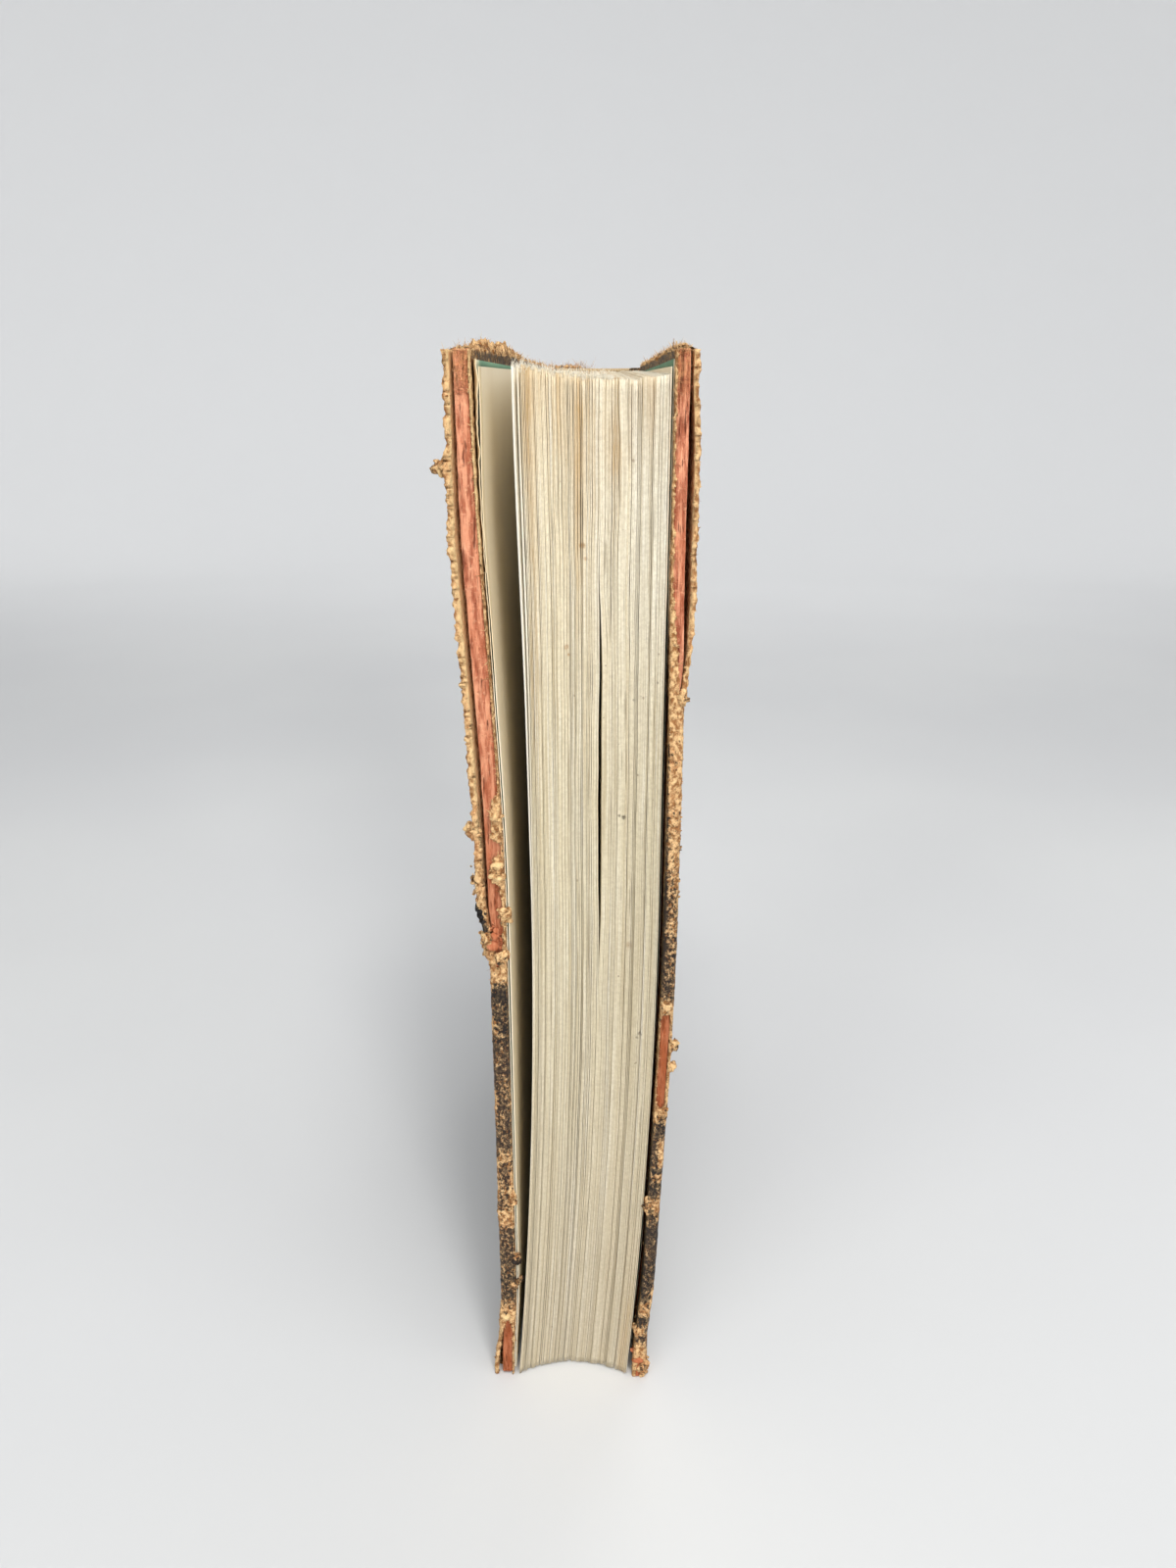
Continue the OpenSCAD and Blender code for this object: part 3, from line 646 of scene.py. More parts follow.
def pages():
    """Every leaf of the text block as its own thin slab, so that edges, crack and ragged head are real."""
    random = np.random.default_rng(5)
    up = np.linspace(0, 1, 130)
    back = np.concatenate([np.linspace(0, 0.12, 18), np.linspace(0.16, 0.97, 12), [1.0]])
    t = np.concatenate([np.zeros(len(up)), back[1:], np.ones(5), back[::-1][1:-1]])
    s = np.concatenate([up, np.ones(len(back) - 1), np.linspace(0.8, 0, 5), np.zeros(len(back) - 2)])
    rim = 8.0
    t_in = np.clip(t, rim / COVER_W, 1 - rim / COVER_W)
    s_in = np.clip(s, rim / COVER_H, 1 - rim / COVER_H)
    flare = (FLARE_Y - BLOCK_FORE_Y) / (SHOULDER_Y - BLOCK_FORE_Y)

    # Leaves cling together in small bundles that stand a little in front of or behind each other
    index = np.arange(LEAVES)
    bundle = np.cumsum(random.random(LEAVES) < 0.45)
    set_back = 0.09 * random.normal(size=LEAVES)[bundle] + 0.03 * random.normal(size=LEAVES)
    short = 0.08 * random.normal(size=LEAVES)[bundle] + 0.05 * random.normal(size=LEAVES)
    tint = np.clip(0.45 + 0.24 * random.normal(size=LEAVES)[bundle] + 0.12 * random.normal(size=LEAVES), 0, 1)
    thick = random.uniform(0.7, 1.3, LEAVES)
    ends = np.concatenate([[0], np.cumsum(thick)]) / np.sum(thick) * 2 - 1
    parted = np.append(np.diff(bundle), 1) > 0
    left = ends[:-1]
    right = mix(ends[:-1], ends[1:], np.where(parted, random.uniform(0.45, 0.8, LEAVES), 0.95))
    middle = (left + right) / 2

    def place(p, leaf, tt, ss):
        """Points of leaves at p across the block, tt towards the spine and ss up."""
        p, mid = p[:, None], middle[leaf][:, None]
        z_rough = ss * COVER_H
        wave = 0.06 * noise(leaf[:, None] * 0.9, z_rough / 22, 0.5, 2)
        sunk = 0.8 * np.clip(noise(bundle[leaf][:, None] * 0.8, z_rough / 26, 7.5, 4) - 0.45, 0, 1)
        y_fore = BLOCK_FORE_Y + FORE_HOLLOW * (1 - mid ** 2) + set_back[leaf][:, None] + wave + sunk
        y = mix(y_fore, SPINE_Y + np.sqrt(BLOCK_R ** 2 - (p * SHOULDER_X) ** 2), tt)
        width = mix(HALF, SHOULDER_X, ease((tt - flare) / (1 - flare)))
        away = reach(mix(BLOCK_FORE_Y, SHOULDER_Y, tt))
        torn = 0.14 + 1.3 * ease((0.35 - mid) / 0.7) * np.clip(1 - tt / 0.1, 0, 1)
        ragged = short[leaf][:, None] + torn * rough(leaf[:, None] * 0.9, tt * 110, 1.5, 3, 8)
        fall = (HEAD_FALL + 0.6 * mid - 1.2 * mid ** 2) * away
        top = HEAD_Z - fall + np.clip(ragged, -1.1, 0.6) * ease((ss - 0.96) / 0.04)
        z = mix(TAIL_SQUARE + 0.5 * np.abs(ragged) * ease((0.04 - ss) / 0.04) - SAG * away, top, ss)
        front = np.clip(1 - tt / 0.09, 0, 1)
        span = np.clip(1.6 * (1 - np.abs(2 * z - CRACK_LOW - CRACK_HIGH) / (CRACK_HIGH - CRACK_LOW)), 0, 1)
        gape = CRACK_W * (0.3 + 0.7 * ease((z - 92) / 16) * ease((178 - z) / 40)) * span
        apart = np.where(mid > CRACK_AT, 0.5, -0.5) * gape * np.exp(-np.abs(mid - CRACK_AT) / 0.2) * front
        flared = -0.8 * np.select([leaf[:, None] == 0, leaf[:, None] == 1], [1.0, 0.3], 0.0)
        flared = flared * ease((z - 95) / 95) * np.clip(1 - tt / 0.08, 0, 1) ** 2
        wobble = 0.3 * noise(mid * 2.6, z / 15, 4.5, 6) + 0.16 * noise(mid * 7, z / 5.5, 4.5, 7)
        wobble = wobble * (1 - mid ** 2) * front * (0.35 + 0.65 * ease((z - 90) / 80))
        x = MIDDLE_X + p * width + block_push(mid, z) * away + apart + flared + wobble
        return np.stack([x, y, z], axis=-1) * MM, z

    rings, heights = zip(*[place(p, index, tt, ss) for p, tt, ss in
                           ((left, t_in, s_in), (left, t, s), (right, t, s), (right, t_in, s_in))])
    points, z = np.stack(rings, axis=1), np.stack(heights, axis=1)
    at = np.arange(z.size).reshape(z.shape)
    quads = []
    for k in range(3):
        a, b = at[:, k], at[:, k + 1]
        quads.append(np.stack([a, np.roll(a, -1, 1), np.roll(b, -1, 1), b], axis=-1).reshape(-1, 4))

    def each(values):
        return np.broadcast_to(values[:, None, None], z.shape)

    p = each(middle)
    stain = (0.55 * hill(p + 0.23, 0.09) * ease((z - 150) / 45)
             + 0.7 * hill(p - 0.27, 0.08) * ease((z - 166) / 20)
             + 0.75 * hill(p + 0.88, 0.07) * ease((z - 100) / 90)
             + 0.45 * ease((z - 176) / 22) * np.clip(0.6 + 0.8 * noise(p * 8, z / 14, 0.5, 3), 0, 1)
             + 0.22 * hill(p + 0.2, 0.35) * ease((z - 100) / 100)
             + 0.35 * hill(p - 0.9, 0.08) * ease((45 - z) / 25))
    white = each(np.where(index == 0, 0.85, np.where(index == 1, 0.3, 0.0))) * ease((z - 70) / 70)
    shape = Shape()
    side = np.zeros((3, LEAVES, len(t)), bool)
    side[0, 0] = side[2, -1] = True
    shape.add(points, np.concatenate(quads), side.ravel(), ~side.ravel(), leaf=each(index + 0.0),
              tint=each(tint), white=white, stain=np.clip(stain, 0, 0.9), rub=0.0)
    plain = dict(leaf=0.0, tint=0.0, stain=0.0, rub=0.0)
    tt, ss = np.meshgrid(np.linspace(0.002, 0.998, 30), np.linspace(0.002, 0.998, 60))
    for last, inward in ((False, 0.02 * MM), (True, -0.02 * MM)):
        leaf = index[-1:] if last else index[:1]
        face, _ = place((right if last else left)[leaf], leaf, tt.ravel(), ss.ravel())
        shape.add(face[0] + [inward, 0, 0], grid_quads(*tt.shape, not last), 1, white=0.0, **plain)

    # Torn fibres of paper along the left half of the head
    leaf, edge = random.integers(0, int(0.62 * LEAVES), PAGE_FIBRES), random.integers(1, 3, PAGE_FIBRES)
    way = 9 * random.random(PAGE_FIBRES) ** 1.6
    step = way.astype(int)
    at = len(up) - 1 + step
    roots = mix(points[leaf, edge, at], points[leaf, edge, at + 1], (way - step)[:, None])
    away = np.array([0, -0.3, 1.0]) + random.normal(scale=0.45, size=(PAGE_FIBRES, 3))
    hair = fibres(roots, away, MM * random.gamma(2.0, 0.28, PAGE_FIBRES), 0.045 * MM, random)
    shape.add(*hair, white=0.6, **plain)
    return shape.piece("pages", [PAGE, LEAF], "book_block", ["text_block"])


# Covers

EDGE_FUZZ, CORNER_FUZZ = 5000, 700
HEAD_FIBRES, HEAD_CORNER_FIBRES, HEAD_CRUMBS = 2600, 420, 260


def board(cover):
    """Pasteboard: a bent slab whose fore-edge is split into layers and fibres."""
    low, high = LEATHER_T + GLUE, COVER_H - LEATHER_T - GLUE
    us = np.linspace(BOARD_IN, BOARD_OUT, 9)
    ys = np.linspace(BOARD_FORE_Y + 1.5, BOARD_BACK_Y, 30)
    zs = np.linspace(low, high, 90)
    left = cover.side < 0
    shape = Shape()
    for u, flip in ((BOARD_OUT, False), (BOARD_IN, True)):
        y, z = np.meshgrid(ys, zs)
        shape.add(cover.place(u, y, z), grid_quads(len(zs), len(ys), flip ^ left))
    u, z = np.meshgrid(us, zs)
    shape.add(cover.place(u, BOARD_BACK_Y, z), grid_quads(len(zs), len(us), not left))
    for z, flip in ((low, True), (high, False)):
        u, y = np.meshgrid(us, ys)
        shape.add(cover.place(u, y, np.full(y.shape, z)), grid_quads(len(ys), len(us), flip ^ left))

    # The fore-edge goes round from the outer face to the inner one, up to the worn corners
    bend = np.radians(np.linspace(15, 75, 3))
    corner = 0.3
    sides = np.array([2.6, 1.8, 1.1, 0.6, 0.3])
    flat = np.linspace(BOARD_OUT - corner, BOARD_IN + corner, 19)
    over, back = corner * (1 - np.cos(bend)), corner * (1 - np.sin(bend))
    u = np.concatenate([np.full(len(sides), BOARD_OUT), BOARD_OUT - over, flat,
                        BOARD_IN + over[::-1], np.full(len(sides), BOARD_IN)])
    run = np.concatenate([sides, back, np.zeros(len(flat)), back[::-1], sides[::-1]])
    z = np.linspace(0.3, COVER_H - 0.45, 560)[:, None]
    blunt = np.where(z > COVER_H / 2, 1.6, 0.5)
    near_end = np.maximum(0, blunt - np.minimum(z - 0.3, COVER_H - 0.4 - z))
    worn = blunt - np.sqrt(np.maximum(0, blunt ** 2 - near_end ** 2))
    layers = (0.10 * noise(u * 6.5, z / 5, cover.seed, 1) + 0.07 * noise(u * 13, z / 1.6, cover.seed, 2)
              + 0.14 * rough(u * 1.3, z / 7, cover.seed, 3, 5)
              + 0.5 * np.clip(noise(u * 4.2, z / 11, cover.seed, 4) - 0.4, 0, 1))
    front = np.clip(1 - run / 0.8, 0, 1)
    y = BOARD_FORE_Y + run + worn * np.clip(1 - run / 3, 0, 1) + front * (0.1 + layers)
    skew = 0.06 * noise(z / 2.5, u * 2, cover.seed, 9) * front
    shape.add(cover.place(u + skew, y, z + 0 * y), grid_quads(len(z), len(u), not left))
    return shape.piece(f"{cover.name}_red_board", [BOARD], cover.body, [f"{cover.name}_board"])


def wrap_path():
    """The leather's way over an edge: off the middle, in from the edge, lean, length, share over the edge."""
    outer_r, inner_r = 0.9, 0.45
    a = np.radians(np.linspace(0, 90, 8))
    face = np.array([4.0, 3.5, 3.0, 2.5, 2.1, 1.75, 1.45, 1.15])
    flat = np.linspace(SKIN_OUT - outer_r, TURNED_IN + inner_r, 13)[1:-1]
    turn = np.array([0.8, 1.2, 1.8, 2.6, 3.6, 5.0])
    u = np.concatenate([np.full(len(face), SKIN_OUT), SKIN_OUT - outer_r * (1 - np.cos(a)), flat,
                        TURNED_IN + inner_r * (1 - np.sin(a)), np.full(len(turn), TURNED_IN)])
    run = np.concatenate([face, outer_r * (1 - np.sin(a)), np.zeros(len(flat)),
                          inner_r * (1 - np.cos(a)), turn])
    lean = np.concatenate([np.zeros(len(face)), a, np.full(len(flat), math.pi / 2), math.pi / 2 + a,
                           np.full(len(turn), math.pi)])
    length = np.concatenate([[0], np.cumsum(np.hypot(np.diff(u), np.diff(run)))])
    first, last = length[len(face)], length[-len(turn) - 1]
    return u, run, lean, length, (length - first) / (last - first)


def fore_leather(cover):
    """Leather over the fore-edge: torn away, rubbed to the flesh, with a loose flap and frayed rims."""
    random = np.random.default_rng(cover.seed)
    u, run, lean, length, w = wrap_path()
    z = np.linspace(0.1, COVER_H - 0.6, 660)[:, None]
    wear = cover.wear(w, z)
    flesh = np.clip(wear, 0, 1)
    outside = np.clip(1 - lean / 1.2, 0, 1)
    inset = np.clip((run - 3.0) / 1.0, 0, 1)
    coarse = rough(length / 1.5, z / 1.5, 0.5, 3, cover.seed)
    fine = rough(length / 0.7, z / 0.7, 0.5, 3, cover.seed + 3)
    # Painted highlight: the fluffy rim gets a value past 1.3, so the shader paints it pale.
    wear = wear + 1.1 * cover.fluff(z) * hill(run, 0.9) * outside
    lumps = sum(out * hill(z - at, size) for at, size, out in cover.lumps)
    lumps = lumps * np.clip(0.55 + 0.9 * fine, 0.1, 1.4) * hill(run, 1.6) * outside
    fluffy = np.clip(0.75 + 0.9 * coarse + 0.5 * fine, 0, 1.6) * hill(run, 1.4)
    lumps = lumps + cover.fluff(z) * fluffy * outside
    rise = (0.06 * coarse + flesh * (0.22 * fine + 0.2 * np.maximum(coarse, 0))) * (1 - inset) - 0.12 * inset
    loose = cover.loose(run, z) * outside
    out_u = u + loose + lumps + rise * np.cos(lean)
    out_run = run - rise * np.sin(lean) - 0.2 * lumps
    in_u = np.clip(u, TURNED_OUT, SKIN_IN) + loose + 0.5 * lumps
    in_run = np.maximum(run, LEATHER_T) + 0.12 * flesh * noise(z / 0.5, u, 4.4, 9)

    mid_w, mid_z = (w[:-1] + w[1:]) / 2, (z[:-1] + z[1:]) / 2
    keep = ~cover.bare(mid_w, mid_z)
    ends = np.minimum(mid_z, COVER_H - mid_z) + 0.5 * rough(mid_w * 3, mid_z, 1.5, 2, cover.seed)
    keep &= (ends > 0.6) | (mid_z < 3)
    outer, inner = cover.place(out_u, FORE_Y + out_run, z), cover.place(in_u, FORE_Y + in_run, z)
    shape = Shape()
    # Where the rim frays, the inner side and rims carry a value past 1.3, a painted highlight.
    torn = 1.2 + 0.9 * cover.fluff(z) + 0 * u
    points, faces, rims = shape.sheet(outer, inner, cover.side > 0, keep, wear=(wear, torn))
    shape.piece(f"{cover.name}_edge_leather", [LEATHER], cover.body)

    # Crumbs and fibres along the torn rims, finer ones on the rubbed flesh
    def sample(quads, share):
        corners = points[quads[random.random(len(quads)) < share]]
        out = unit(np.cross(corners[:, 1] - corners[:, 0], corners[:, 3] - corners[:, 0]))
        return corners.mean(axis=1), out

    def scatter(count):
        return np.clip(random.normal(scale=0.6, size=count), -1.2, 1.2)

    worn = faces[(wear.ravel()[faces].mean(axis=1) > 0.8) & (np.tile(run, len(z))[faces].mean(axis=1) < 1.5)]
    fray = Shape()
    for quads, share, size in ((rims, 0.06, 0.13), (worn, 0.008, 0.10)):
        roots, _ = sample(quads, share)
        sizes = MM * np.minimum(random.gamma(3.0, size / 3, len(roots)), 0.4)
        fray.add_each(crumbs(roots, sizes, random), random.uniform(0.75, 1.2, len(roots)))
    # Fibres get values up to 1.7, which the leather paints as a pale highlight.
    for quads, share, longest, width in ((rims, 0.4, 0.22, 0.03), (rims, 0.12, 0.2, 0.1),
                                         (worn, 0.1, 0.12, 0.03), (worn, 0.03, 0.12, 0.09)):
        roots, away = sample(quads, share)
        away = away + random.normal(scale=0.6, size=away.shape)
        lengths = MM * np.minimum(random.gamma(2.0, longest, len(roots)), 1.2)
        fray.add_each(fibres(roots, away, lengths, width * MM, random), random.uniform(0.9, 1.7, len(roots)))
    z_fuzz = np.concatenate([random.uniform(low, COVER_H - 0.6, count)
                             for low, count in ((0.5, EDGE_FUZZ), (COVER_H - 7, CORNER_FUZZ))])
    w_fuzz = random.uniform(0.05, 0.95, len(z_fuzz))
    shown = cover.bare(w_fuzz, z_fuzz)
    roots = cover.place(mix(BOARD_OUT, BOARD_IN, w_fuzz), BOARD_FORE_Y + 0.15, z_fuzz)[shown]
    away = np.array([0, -0.5, 0.35]) + random.normal(scale=0.5, size=roots.shape)
    lengths = MM * np.minimum(random.gamma(2.0, 0.16, len(roots)), 0.9)
    fray.add(*fibres(roots, away, lengths, 0.05 * MM, random), 1, wear=0.0)
    for made_of, clumps in enumerate((cover.clumps, cover.crumbled)):
        for at, share, spread, count, size, *tone in clumps:
            heights = at + spread * scatter(count)
            shares = share + 0.22 * scatter(count)
            ways = np.interp(shares, w, length)
            off, back = np.interp(ways, length, u), np.interp(ways, length, run) + LEATHER_T * made_of
            off = off + (SKIN_OUT - TURNED_IN) * (np.maximum(-shares, 0) - np.maximum(shares - 1, 0))
            roots = cover.place(off + cover.loose(back, heights) * (shares < 0.2), FORE_Y + back, heights)
            sizes = MM * np.clip(random.gamma(4.0, size / 4, count), 0.12, 0.8)
            # Crumb values can pass 1.3 here, where the leather paints them as a pale highlight.
            fray.add_each(crumbs(roots, sizes, random), sum(tone) + random.uniform(-0.6, 0.5, count), made_of)
    for points_in in fray.points:
        points_in[:, 2] = np.maximum(points_in[:, 2], 0)
    fray.piece(f"{cover.name}_edge_fray", [LEATHER, BOARD], cover.body)


def end_leather(cover, head):
    """Leather turned over the head or the tail of a board, worn soft and fuzzy."""
    name = "head" if head else "tail"
    random = np.random.default_rng(cover.seed + head)
    u, run, lean, length, w = wrap_path()
    along = np.linspace(FORE_Y + 1.5, HINGE_Y - HINGE_GAP, 270 if head else 160)[:, None]
    coarse = rough(length / 1.8, along / 1.8, 0.5, 3, cover.seed + 5)
    fine = rough(length / 0.55, along / 0.7, 2.5, 3, cover.seed + 6)
    cloud = rough(length / 5, along / 5, 4.5, 3, cover.seed + 7)
    over = np.clip(1 - np.abs(lean - math.pi / 2) / 2.2, 0, 1)
    wear = 0.05 + over * (0.95 + 0.5 * cloud) + 0.25 * np.exp(-(along - FORE_Y) / 9)
    inset = np.clip((run - 3.0) / 1.0, 0, 1)
    tufts = 0.3 * np.maximum(fine + 0.2, 0) + 0.3 * np.maximum(coarse, 0)
    rise = (0.06 * coarse + over * tufts) * (1 - inset)
    rise = rise * (1.0 if head else 0.3) - 0.12 * inset
    crest = 0.0
    if head:
        crest = cover.crest(along) * np.clip(0.55 + 0.8 * coarse + 0.5 * fine, 0, 1.4) * over ** 2
    loose = cover.loose(along - FORE_Y, COVER_H - run if head else run) * np.clip(1 - lean / 1.2, 0, 1)
    out_run = run - rise * np.sin(lean) - crest
    z = COVER_H - 0.3 - out_run if head else np.maximum(out_run, 0)
    place = cover.place(u + loose + rise * np.cos(lean), along + 0 * z, z)
    mid_along = (along[:-1] + along[1:]) / 2
    mid_w = (w[:-1] + w[1:]) / 2
    keep = (mid_along - FORE_Y > 3.2 + 1.6 * rough(mid_w * 3, mid_along, 1.5, 3, cover.seed)) | (mid_w < -0.3)
    quads = grid_quads(len(along), len(u), head ^ (cover.side > 0))[keep.ravel()]
    shape = Shape()
    shape.add(place, quads, wear=wear)
    shape.piece(f"{cover.name}_{name}_leather", [LEATHER], cover.body)
    if not head:
        return

    points = place.reshape(-1, 3)
    ridge = quads[over[np.mod(quads, len(u))].mean(axis=1) > 0.35]
    roots = points[ridge[random.integers(0, len(ridge), HEAD_FIBRES)]].mean(axis=1)
    corner_y = random.uniform(BOARD_FORE_Y + 0.2, FORE_Y + 5.0, HEAD_CORNER_FIBRES)
    corner_u = random.uniform(BOARD_IN, BOARD_OUT, HEAD_CORNER_FIBRES)
    corners = cover.place(corner_u, corner_y, np.full(HEAD_CORNER_FIBRES, COVER_H - 0.8))
    roots = np.concatenate([roots, corners])
    away = np.array([0, -0.2, 1.0]) + random.normal(scale=0.6, size=(len(roots), 3))
    lengths = MM * np.minimum(random.gamma(1.8, 0.26, len(roots)), 2.0)
    fray = Shape()
    widths = MM * random.choice([0.03, 0.08], (len(roots), 1, 1), p=[0.75, 0.25])
    # Head fibres get values up to 1.7, a painted pale highlight.
    fray.add_each(fibres(roots, away, lengths, widths, random), random.uniform(0.8, 1.7, len(roots)))
    picked = roots[random.integers(0, len(roots), HEAD_CRUMBS)]
    sizes = MM * np.minimum(random.gamma(3.0, 0.06, HEAD_CRUMBS), 0.45)
    fray.add_each(crumbs(picked, sizes, random), random.uniform(0.45, 1.2, HEAD_CRUMBS))
    fray.piece(f"{cover.name}_head_fray", [LEATHER], cover.body)


def face_leather(cover):
    """The outer face of a cover's leather."""
    run = np.concatenate([np.linspace(COVER_W - HINGE_GAP, 24, 26), np.linspace(22, 3.3, 14)])
    z = np.linspace(3.3, COVER_H - 3.3, 90)[:, None] + 0 * run
    y = FORE_Y + run + 0 * z
    ripple = 0.04 * noise(y / 6, z / 6, 0.5, cover.seed)
    near_edge = np.minimum(run, np.minimum(z, COVER_H - z))
    corner = np.hypot(run, np.minimum(z, COVER_H - z))
    wear = (-0.22 + 0.5 * np.exp(-near_edge / 4) + 0.35 * np.exp(-corner / 10)
            + 0.16 * rough(y / 22, z / 22, 0.5, 3, cover.seed + 2)
            + 0.12 * rough(y / 3, z / 40, 1.5, 2, cover.seed))
    loose = cover.loose(run, z)
    outer = cover.place(SKIN_OUT + ripple + loose, y, z)
    inner = cover.place(SKIN_IN + loose, y, z)
    shape = Shape()
    shape.sheet(outer, inner, cover.side > 0, wear=(wear, 1.2))
    shape.piece(f"{cover.name}_face_leather", [LEATHER], cover.body, [f"{cover.name}_leather"])


def endpaper(cover, margin, sunk, lift, curl):
    """Endpaper: one folded sheet, half pasted to the board and half free, green inside the fold.

    margin is how far its fore-edge is in from the cover's. By height, sunk sets that edge back, lift takes the
    free half off the board and curl takes the edge of the pasted half off it.
    """
    front = FORE_Y + margin
    zs = np.linspace(PAPER_TAIL, COVER_H - PAPER_HEAD, 260)
    near = front + np.array([0, 0.3, 0.6, 1.0, 1.5, 2.2, 3.5, 5.5, 8.0])
    inside = TURN_IN_W + 0.4
    paste_y = np.concatenate([near, np.linspace(FORE_Y + inside, FORE_Y + inside + 2, 3),
                              np.linspace(FORE_Y + TURN_IN_W + 8, BOARD_BACK_Y, 7)])
    leaf_y = np.concatenate([np.linspace(BOARD_BACK_Y, front + 10, 9), near[::-1]])

    def pasted(y, z, u):
        raised = (y <= FORE_Y + inside + 0.01) | (z <= inside) | (z >= COVER_H - inside)
        uneven = 0.75 + 0.5 * rough(z / 2.5, 0.5, 1.5, 3, cover.seed + 8)
        lifted = np.exp(-(y - front) / 1.4) * curl(z) * uneven
        return u + np.where(raised, 0, TURN_IN_T + GLUE) - lifted

    def free(y, z, u):
        bow = 0.1 * noise(y / 30, z / 45, 2.5, cover.seed + 9) * reach(y)
        return u - lift(z) * reach(y) ** 2 - np.clip(bow, -0.05, 0.1)

    def ragged(depths, depth, pitch, row):
        """Depths and heights of a half of the sheet, set back and with a ragged fore-edge."""
        y, z = np.meshgrid(depths, zs)
        y = y + sunk(z) * np.exp(-(y - front) / 8)
        return y + depth * np.exp(-(y - front) / 0.8) * rough(z / pitch, row, 3.5, 3, cover.seed), z

    def grid(back):
        y_p, z_p = ragged(paste_y, 0.4, 1.3, 0.5)
        y_f, z_f = ragged(leaf_y, 0.12, 3.5, 2.5)
        z_f = z_f - 1.1 * ease((z_f / COVER_H - 0.9) / 0.1) * reach(y_f)
        paste = cover.place(pasted(y_p, z_p, PASTE_OUT if back else PASTE_IN), y_p, z_p)
        leaf = cover.place(free(y_f, z_f, LEAF_IN if back else LEAF_OUT), y_f, z_f)
        y_b = np.full((len(zs), 1), BOARD_BACK_Y + LEAF_GAP / 2 + (PAPER_T if back else 0))
        fold = cover.place(np.full((len(zs), 1), (PASTE_IN + LEAF_OUT) / 2), y_b, zs[:, None])
        return np.concatenate([paste, fold, leaf], axis=1)

    outer, inner = grid(True), grid(False)
    rows, cols = outer.shape[:2]
    backs, faces, rims = sheet_quads(np.ones((rows - 1, cols - 1), bool), cover.side < 0)
    all_y = np.concatenate([paste_y, [BOARD_BACK_Y], leaf_y])
    deep = 6 * curl(zs)[:, None] * np.repeat([1, 0], [len(paste_y), len(leaf_y) + 1])
    rub = np.exp(-(all_y - front) / (2.5 + deep)) * np.clip(curl(zs)[:, None] * 2, 0.3, 1)
    shape = Shape()
    tone = np.repeat([1, 0, 1], [len(backs), len(faces), len(rims)])
    points = np.concatenate([outer.reshape(-1, 3), inner.reshape(-1, 3)])
    shape.add(points, np.concatenate([backs, faces, rims]), tone, tone == 0, rub=np.tile(rub.ravel(), 2))
    u, z = np.meshgrid(np.linspace(SKIN_IN, PASTE_OUT, 6), zs)
    shape.add(cover.place(u, BOARD_BACK_Y + 0.06, z), grid_quads(*u.shape, cover.side > 0), 1, rub=0.0)
    return shape.piece(f"{cover.name}_endpapers", [GREEN, WHITE], cover.body,
                       [f"{cover.name}_endpaper"])


# Spine

SPINE_FIBRES = 700


def spine():
    """Leather over the rounded spine, torn and frayed at the head."""
    random = np.random.default_rng(23)
    end = math.acos((HINGE_Y + HINGE_GAP - SPINE_Y) / SKIN_R)
    angles = np.linspace(-end, end, 70)
    rows = np.linspace(0, 1, 140)
    a, s = np.meshgrid(angles, rows)
    chip_r = 4 * HEAD_CHIP
    across = SKIN_R * np.sin(a) - 0.6 * SKIN_OUT
    chip = np.maximum(0, HEAD_CHIP - chip_r + np.sqrt(np.maximum(0, chip_r ** 2 - across ** 2)))
    ragged = 0.9 * rough(a * SKIN_R / 1.6, 0.5, 0.5, 3, 31)
    top = COVER_H - chip - 0.3 + np.where(chip > 0.05, ragged, 0.45 * ragged)
    z = top * s
    lip = 0.35 * np.exp(-(top - z) / 1.2) + 0.25 * np.exp(-z / 1.2)
    ripple = 0.05 * rough(a * SKIN_R / 4, z / 6, 0.5, 3, 33)
    grids = []
    for r in (SKIN_R + ripple - 0.05, np.full(z.shape, LINING_R + GLUE)):
        r = r - lip * 0.3
        grids.append(np.stack([MIDDLE_X + r * np.sin(a), SPINE_Y + r * np.cos(a), z], axis=-1) * MM)
    near = np.minimum(z, top - z)
    wear = (-0.15 + 0.9 * np.exp(-near / 1.3) + 0.35 * np.exp(-near / 7)
            + 0.16 * hill(a, 0.3) + 0.2 * rough(a * SKIN_R / 14, z / 18, 0.5, 3, 35))
    shape = Shape()
    shape.sheet(*grids, False, wear=(wear, 1.25))
    shape.piece("spine_cover_leather", [LEATHER], "book_block", ["spine_leather"])

    # Frayed threads and flesh that stand up at the torn head
    pick = random.integers(0, len(angles), SPINE_FIBRES)
    roots = mix(grids[0][-1, pick], grids[1][-1, pick], random.random((SPINE_FIBRES, 1)))
    tall = hill(angles[pick] * SKIN_R + 1.5, 2.2)
    lengths = MM * (random.gamma(1.8, 0.35, SPINE_FIBRES) + tall * random.uniform(0, 5.0, SPINE_FIBRES))
    away = np.array([0, -0.05, 1.0]) + random.normal(scale=0.35, size=(SPINE_FIBRES, 3))
    fray = Shape()
    fray.add(*fibres(roots, away, lengths, 0.045 * MM, random), wear=1.2)
    some = roots[random.random(SPINE_FIBRES) < 0.35]
    sizes = MM * np.minimum(random.gamma(3.0, 0.1, len(some)), 0.6)
    fray.add_each(crumbs(some, sizes, random), random.uniform(0.5, 1.2, len(some)))
    fray.piece("spine_head_fray", [LEATHER], "book_block")


